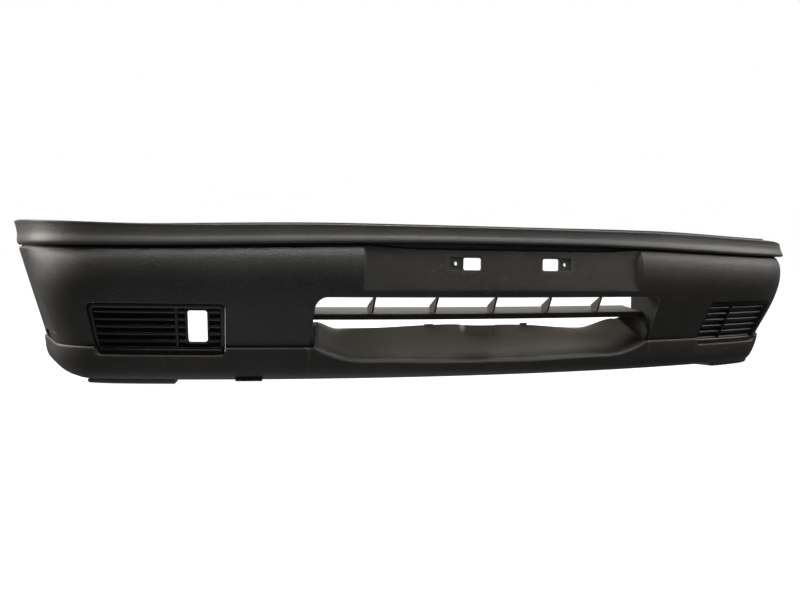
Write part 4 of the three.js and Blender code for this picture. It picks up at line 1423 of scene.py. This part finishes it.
def stud_profile():
    """Flange, threaded shank and rounded tip, up to the top of the cover's box."""
    height = STUD_TOP_Z - float(flange_height(WING_END)) - 1.2
    turns = np.arange(2.4, height - 1.6, 0.5)
    shank = [(2.85 + 0.15 * math.cos(2 * math.pi * h), float(h)) for h in turns]
    flange = [(7.8, 0), (8, 0.2), (8, 1.5), (7.7, 1.8), (3.3, 1.9)]
    return flange + shank + [(2.8, height - 1.2), (2.3, height - 0.3), (1.6, height)]


def make_grommets():
    """Nylon grommets that line both plate screw holes."""
    segments = 32
    angles = np.linspace(0, 2 * math.pi, segments, endpoint=False)
    body = Body()
    for side in (-1, 1):
        middle_x = HOLE_CENTRE + side * PLATE_SCREW["x"]
        face = placed(middle_x, RECESS_FLOOR, 0)[1] + GAP
        rings = []
        for r, h in GROMMET:
            x, z = middle_x + r * np.cos(angles), PLATE_SCREW["z"] + r * np.sin(angles)
            rings.append(np.column_stack([x, np.full(segments, face + h), z]))
        body.loft(rings, loop=True)
    return body.object("plate_grommets")


def make_brackets():
    """Angle brackets behind both wings: an upright leaf on the skin and a flat foot behind it."""
    front, bottom = GROOVE_DEPTH - WALL - GAP, 243
    inside, shelf = front - BRACKET_PLATE, bottom + BRACKET_PLATE
    section = filleted([
        (front, bottom), (front, 262), (inside, 262), (inside, shelf),
        (front - 38, shelf), (front - 38, bottom),
    ], [2.5, 0.6, 0.6, 1.2, 0.6, 0.6])
    body = Body()
    for start, end in ((-1120, -900), (900, 1120)):
        rounded_sweep(body, start, end, lambda s: section, 0.6, np.arange(start, end, 6.0))
    return body.object("wing_brackets")


def make_edge_nuts():
    """Spring nuts clipped over the scoop's rear edge."""
    body = Body()
    rear = SCOOP_REAR_Y
    for x in (-104.0, 104.0):
        top = 99 - 5 * float(smooth(60, 230, abs(x))) - 1
        outline = filleted([
            (rear + 0.6, top - 9), (rear + 2.2, top - 9), (rear + 2.2, top + 5), (rear - 6, top + 5),
            (rear - 6, top + 3.4), (rear + 0.6, top + 3.4),
        ], [0.5, 0.5, 1.8, 0.5, 0.5, 0.6])
        body.loft(across(outline, x, 16, 0.3))
    return body.object("spring_nuts")


def make_extension(side):
    """A pad under one corner, with ribs across it."""
    section = filleted([(-66, 7.7), (-70, 0.3), (-122, 0.3), (-122, 7.7)], [0.8, 3.0, 3.0, 0.8])
    body = Body()
    start, end = sorted((side * 611.0, side * 800.0))
    rounded_sweep(body, start, end, lambda s: section, 2.0, np.arange(start, end, 5.0))
    for k in range(5):
        middle = side * (640 + k * 32)
        rib = filleted([(-72, 0.3), (-72, 6.5), (-120, 6.5), (-120, 0.3)], [0.4] * 4, 2)
        rounded_sweep(body, middle - 1.0, middle + 1.0, lambda s: rib, 0.2, [middle])
    return body.object(f"extension_pad_{'left' if side < 0 else 'right'}")


# ---------------------------------------------------------------- settings
class CoverSizes(bpy.types.PropertyGroup):
    """Sizes of the fine pieces."""

    slat_depth: bpy.props.FloatProperty(
        name="Slat depth", description="Depth of each louvre slat", default=0.009, unit="LENGTH")
    slat_height: bpy.props.FloatProperty(
        name="Slat height", description="Height of each louvre slat", default=0.0062, unit="LENGTH")
    strut_thickness: bpy.props.FloatProperty(
        name="Strut thickness", description="Thickness of each gusset under the intake's top", default=0.004,
        unit="LENGTH")
    grain_size: bpy.props.FloatProperty(
        name="Grain size", description="Size of the leather grain pressed into the skin", default=0.0022,
        unit="LENGTH")
    grain_depth: bpy.props.FloatProperty(
        name="Grain depth", description="Depth of the pressed grain", default=0.00028, unit="LENGTH")


def finish_colour(label, description, colour):
    return bpy.props.FloatVectorProperty(
        name=label, description=description, default=(*colour, 1.0), size=4, subtype="COLOR", min=0, max=1)


class CoverFinishes(bpy.types.PropertyGroup):
    """Colours and gloss of the finishes."""

    skin: finish_colour("Skin", "Grained skin of the cover", (0.024, 0.0225, 0.021))
    moulding: finish_colour("Moulding", "Rub moulding along the top", (0.041, 0.0395, 0.0365))
    valance: finish_colour("Valance", "Lower valance and scoop", (0.024, 0.0225, 0.021))
    # Colour of the scoop's floor: dust, and painted light where the blade shades the floor.
    dust: finish_colour("Scoop dust", "Dusty floor of the scoop", (0.41, 0.375, 0.32))
    gloss: finish_colour("Grilles", "Louvre inserts", (0.005, 0.005, 0.0054))
    intake: finish_colour("Intake", "Blade and struts", (0.03, 0.028, 0.024))
    nylon: finish_colour("Nylon", "Rail, clips and grommets", (0.007, 0.007, 0.007))
    steel: finish_colour("Steel", "Zinc plated brackets and screws", (0.36, 0.35, 0.33))
    skin_roughness: bpy.props.FloatProperty(
        name="Skin roughness", description="Roughness of the grained skin", default=0.46, min=0, max=1,
        subtype="FACTOR")
    gloss_roughness: bpy.props.FloatProperty(
        name="Grille roughness", description="Roughness of the louvre inserts", default=0.36, min=0, max=1,
        subtype="FACTOR")


class CoverStage(bpy.types.PropertyGroup):
    """Camera, lights and floor."""

    lens: bpy.props.FloatProperty(name="Lens", description="Focal length", default=44.48, unit="CAMERA")
    sensor: bpy.props.FloatProperty(name="Sensor", description="Sensor width", default=36.0, unit="CAMERA")
    camera: bpy.props.FloatVectorProperty(
        name="Camera", description="Where the camera stands", default=(-0.8626, -1.8429, 0.2296), size=3,
        subtype="TRANSLATION", unit="LENGTH")
    turn: bpy.props.FloatProperty(
        name="Turn", description="Camera heading from straight ahead", default=0.380984, unit="ROTATION")
    pitch: bpy.props.FloatProperty(
        name="Pitch", description="Camera pitch", default=-0.0433131, unit="ROTATION")
    roll: bpy.props.FloatProperty(name="Roll", description="Camera roll", default=0.014542, unit="ROTATION")
    floor: finish_colour("Floor", "Pale studio floor", (0.9, 0.9, 0.9))
    power: bpy.props.FloatProperty(
        name="Light", description="Brightness of the softboxes together", default=1.0, min=0)


# ---------------------------------------------------------------- operators
FINISHES = {}


def finish_of(kind):
    """A finish, made the first time that a piece asks for it."""
    if kind not in FINISHES:
        look, sizes = bpy.context.scene.cover_finishes, bpy.context.scene.cover_sizes
        matt, size, depth = look.skin_roughness, sizes.grain_size, sizes.grain_depth
        makers = {
            "skin": lambda: moulded_plastic("grained_charcoal", look.skin, matt, size, depth, 0.1),
            "moulding": lambda: moulded_plastic(
                "soft_moulding", look.moulding, matt - 0.02, size * 0.7, depth * 0.5, 0.12),
            "valance": lambda: moulded_plastic(
                "valance_charcoal", look.valance, matt + 0.02, size * 0.8, depth * 0.7, 0.7, look.dust),
            "intake": lambda: moulded_plastic(
                "intake_charcoal", look.intake, matt + 0.34, size * 0.6, depth * 0.4, 0.3),
            "gloss": lambda: gloss_moulding("gloss_black", look.gloss, look.gloss_roughness),
            "nylon": lambda: gloss_moulding("black_nylon_finish", look.nylon, 0.52),
            "steel": lambda: plated_steel("zinc_plate", look.steel, 0.34),
        }
        FINISHES[kind] = makers[kind]()
    return FINISHES[kind]


class BuildSkin(bpy.types.Operator):
    """Builds the moulded skin with its recess, openings, collars and intake walls"""

    bl_idname = "cover.skin"
    bl_label = "Skin"

    def execute(self, context):
        body = Body()
        make_skin(body)
        make_tunnel(body)
        for side in (-1, 1):
            collar(body, side, SEAM_Z + GAP, 400, lambda z: skin_offset(z) - 2.4)
        fitted(body.object("fascia_skin"), finish_of("skin"), "grained_skin", "main_fascia")
        return {"FINISHED"}


class BuildMoulding(bpy.types.Operator):
    """Sweeps the rub moulding along the top of the skin"""

    bl_idname = "cover.moulding"
    bl_label = "Rub moulding"

    def execute(self, context):
        body = Body()
        rounded_sweep(body, -WING_END, WING_END, strip_section, 1.2)
        fitted(body.object("rub_moulding_strip", 50), finish_of("moulding"), "rub_moulding", "upper_strip")
        return {"FINISHED"}


class BuildRail(bpy.types.Operator):
    """Sweeps the rail behind the moulding"""

    bl_idname = "cover.rail"
    bl_label = "Rear rail"

    def execute(self, context):
        body = Body()
        rounded_sweep(body, -790, 790, rail_section, 0.5)
        fitted(body.object("rear_rail"), finish_of("nylon"), "black_nylon", "top_rail")
        return {"FINISHED"}


class BuildValance(bpy.types.Operator):
    """Builds the valance: bands, rounded lip and the scoop floor"""

    bl_idname = "cover.valance"
    bl_label = "Valance"

    def execute(self, context):
        body = Body()
        make_bands(body)
        make_scoop(body)
        for side in (-1, 1):
            collar(body, side, 0, SEAM_Z - GAP, lambda z: band_offset(z) - 1.5)
        tab = filleted([(-58, 8.3), (-60, 5.8), (-76, 5.8), (-76, 8.3)], [0.4, 1.2, 1.2, 0.4])
        start, end = TAB_SPAN
        rounded_sweep(body, start, end, lambda s: tab, 1.2, np.arange(start, end, 6.0))
        fitted(body.object("valance_moulding"), finish_of("valance"), "valance_skin", "lower_valance")
        return {"FINISHED"}


class BuildExtensions(bpy.types.Operator):
    """Builds the two pads that hang under the corners"""

    bl_idname = "cover.extensions"
    bl_label = "Corner pads"

    def execute(self, context):
        for side, word in ((-1, "left"), (1, "right")):
            fitted(make_extension(side), finish_of("valance"), "valance_skin", f"corner_extension_{word}")
        return {"FINISHED"}


class BuildGrilles(bpy.types.Operator):
    """Builds both louvre inserts, one of them with a window"""

    bl_idname = "cover.grilles"
    bl_label = "Side grilles"

    def execute(self, context):
        sizes = context.scene.cover_sizes
        for side, window, node in ((-1, True, "side_grille_window"), (1, False, "side_grille_plain")):
            made = make_grille(side, window, sizes, finish_of("gloss"))
            fitted(made, finish_of("gloss"), "gloss_black", node)
        return {"FINISHED"}


class BuildIntake(bpy.types.Operator):
    """Builds the intake's blade and the gussets that hang it"""

    bl_idname = "cover.intake"
    bl_label = "Intake blade"

    def execute(self, context):
        fitted(make_blade(), finish_of("intake"), "intake_black", "intake_blade")
        struts = make_struts(context.scene.cover_sizes, finish_of("intake"))
        fitted(struts, finish_of("intake"), "intake_black", *[f"intake_strut_{k}" for k in range(1, 6)])
        return {"FINISHED"}


class BuildFixings(bpy.types.Operator):
    """Builds grommets, brackets, studs, spring nuts, clips and screws"""

    bl_idname = "cover.fixings"
    bl_label = "Fixings"

    def execute(self, context):
        sides = ("left", "right")
        nylon, steel = finish_of("nylon"), finish_of("steel")
        fitted(make_grommets(), nylon, "black_nylon", *[f"plate_nut_{word}" for word in sides])
        fitted(make_brackets(), steel, "zinc_steel", *[f"side_bracket_{word}" for word in sides])
        fitted(make_edge_nuts(), steel, "zinc_steel", *[f"edge_nut_{word}" for word in sides])
        flange = float(flange_height(WING_END))
        places = [placed(side * 1097.0, -29.0, flange + 1.2) for side in (-1, 1)]
        studs = repeated("fixing_studs", stud_profile(), places, [(0, 0, 1)] * 2, steel)
        fitted(studs, steel, "zinc_steel", *[f"side_stud_{word}" for word in sides])
        stations = (-1050, -850, -450, 450, 850, 1050)
        lean = 0.46
        axes = [inward(s) * math.cos(lean) + np.array([0, 0, math.sin(lean)]) for s in stations]
        clips = repeated("push_clips", PUSH_CLIP, [placed(s, -51, 76) for s in stations], axes, nylon)
        fitted(clips, nylon, "black_nylon", *[f"valance_clip_{k}" for k in range(1, 7)])
        stations = (-1070, -950, 950, 1070)
        depth = GROOVE_DEPTH - WALL - BRACKET_PLATE - 3 * GAP
        places = [placed(s, depth, 254) for s in stations]
        screws = repeated("bracket_screws", PAN_HEAD, places, [inward(s) for s in stations], steel)
        fitted(screws, steel, "zinc_steel", *[f"bracket_screw_{k}" for k in range(1, 5)])
        stations = (-620, -370, -125, 125, 370, 620)
        places = [placed(s, FLANGE_REAR + 14.7, float(flange_height(s)) + 3.3 + 2 * GAP) for s in stations]
        screws = repeated("rail_screws", PAN_HEAD, places, [(0, 0, 1)] * 6, steel)
        fitted(screws, steel, "zinc_steel", *[f"top_screw_{k}" for k in range(1, 7)])
        return {"FINISHED"}


def softbox(name, centre, aim, width, height, watts, colour=(1.0, 1.0, 1.0)):
    """A rectangular light that faces its aim."""
    data = bpy.data.lights.new(name, "AREA")
    data.shape = "RECTANGLE"
    data.size, data.size_y, data.energy, data.color = width, height, watts, colour
    lamp = linked(name, data)
    lamp.location = centre
    lamp.rotation_euler = (Vector(aim) - Vector(centre)).to_track_quat("-Z", "Y").to_euler()


def make_world():
    """White where the camera looks past the cover, and a soft gradient as a surround for its gloss."""
    world = bpy.data.worlds.new("studio")
    r = Recipe(world)
    back, up = r.axes(r.node("ShaderNodeTexCoord", {}, {}, "Generated"), "YZ")
    rear_wall = back.spread(0.0, 0.7, 0.03, 1.2) * up.spread(-0.1, 0.4, 0.15, 1.0)
    from_below = up.spread(-0.72, -1.0, 0.0, 1.5)
    dim = r.node("ShaderNodeBackground", {}, {"Strength": rear_wall + from_below})
    plain = r.node("ShaderNodeBackground", {}, {"Color": (1, 1, 1, 1)})
    seen = r.node("ShaderNodeLightPath", {}, {}, "Is Camera Ray")
    surround = r.node("ShaderNodeMixShader", {}, {0: seen, 1: dim, 2: plain})
    r.node("ShaderNodeOutputWorld", {}, {"Surface": surround})
    return world


def make_camera(stage):
    """The scene's camera, turned, pitched and rolled from straight ahead."""
    sin_t, cos_t = math.sin(stage.turn), math.cos(stage.turn)
    sin_p, cos_p = math.sin(stage.pitch), math.cos(stage.pitch)
    ahead = Vector((sin_t * cos_p, cos_t * cos_p, sin_p))
    level = Vector((cos_t, -sin_t, 0))
    upward = level.cross(ahead)
    right = level * math.cos(stage.roll) + upward * math.sin(stage.roll)
    up = upward * math.cos(stage.roll) - level * math.sin(stage.roll)
    data = bpy.data.cameras.new("camera")
    data.lens, data.sensor_width, data.clip_start = stage.lens, stage.sensor, 0.01
    camera = linked("camera", data)
    turned = Matrix((right, up, -ahead)).transposed().to_4x4()
    camera.matrix_world = Matrix.Translation(Vector(stage.camera)) @ turned
    bpy.context.scene.camera = camera


class BuildStage(bpy.types.Operator):
    """Sets the pale floor, the surround, the softboxes and the camera"""

    bl_idname = "cover.stage"
    bl_label = "Stage"

    def execute(self, context):
        stage = context.scene.cover_stage
        context.scene.world = make_world()
        context.scene.view_settings.view_transform = "Standard"
        reach, sunk = 30.0, -0.0008
        corners = [(x * reach, y * reach, sunk) for x, y in ((-1, -1), (1, -1), (1, 1), (-1, 1))]
        floor = mesh_object("floor", corners, [], [(0, 1, 2, 3)])
        paper = new_finish("floor_paper").finish(
            Base_Color=tone(stage.floor, 0.35), Roughness=0.9, Specular_IOR_Level=0.0,
            Emission_Color=tone(stage.floor), Emission_Strength=1.07,
        )
        floor.data.materials.append(paper)
        floor.visible_diffuse = False
        floor.visible_glossy = False
        power = stage.power
        warm = (1.0, 0.97, 0.93)
        softbox("softbox_overhead", (0.1, -0.9, 2.2), (0, -0.15, 0.2), 3.2, 0.8, 112 * power)
        softbox("softbox_left", (-2.3, 0.9, 1.1), (-0.8, 0.0, 0.15), 1.2, 1.6, 62 * power, (1.0, 0.95, 0.88))
        softbox("softbox_right", (2.4, -0.7, 1.0), (0.6, 0, 0.2), 1.2, 0.9, 24 * power, warm)
        softbox("softbox_rear", (0.3, 2.0, 1.3), (0, 0, 0.15), 2.6, 0.9, 42 * power, (1.0, 0.97, 0.92))
        softbox("softbox_front", (-0.4, -2.6, 0.5), (0, 0, 0.15), 2.6, 0.8, 6 * power)
        make_camera(stage)
        return {"FINISHED"}


class CoverPanel(bpy.types.Panel):
    """Lists the operators that build the cover"""

    bl_idname = "VIEW3D_PT_bumper_cover"
    bl_label = "Bumper cover"
    bl_space_type = "VIEW_3D"
    bl_region_type = "UI"
    bl_category = "Bumper cover"

    def draw(self, context):
        for operator in OPERATORS:
            self.layout.operator(operator.bl_idname)
        for group in (context.scene.cover_sizes, context.scene.cover_finishes, context.scene.cover_stage):
            box = self.layout.box()
            for name in group.bl_rna.properties.keys():
                if name not in ("rna_type", "name"):
                    box.prop(group, name)


OPERATORS = (BuildStage, BuildSkin, BuildMoulding, BuildRail, BuildValance, BuildExtensions, BuildGrilles,
             BuildIntake, BuildFixings)
GROUPS = (("cover_sizes", CoverSizes), ("cover_finishes", CoverFinishes), ("cover_stage", CoverStage))


def register():
    for attribute, group in GROUPS:
        bpy.utils.register_class(group)
        setattr(bpy.types.Scene, attribute, bpy.props.PointerProperty(type=group))
    for made in (*OPERATORS, CoverPanel):
        bpy.utils.register_class(made)


def unregister():
    for made in (CoverPanel, *reversed(OPERATORS)):
        bpy.utils.unregister_class(made)
    for attribute, group in GROUPS:
        delattr(bpy.types.Scene, attribute)
        bpy.utils.unregister_class(group)


def main():
    register()
    bpy.ops.cover.stage()
    bpy.ops.cover.skin()
    bpy.ops.cover.moulding()
    bpy.ops.cover.rail()
    bpy.ops.cover.valance()
    bpy.ops.cover.extensions()
    bpy.ops.cover.grilles()
    bpy.ops.cover.intake()
    bpy.ops.cover.fixings()


if __name__ == "__main__":
    main()
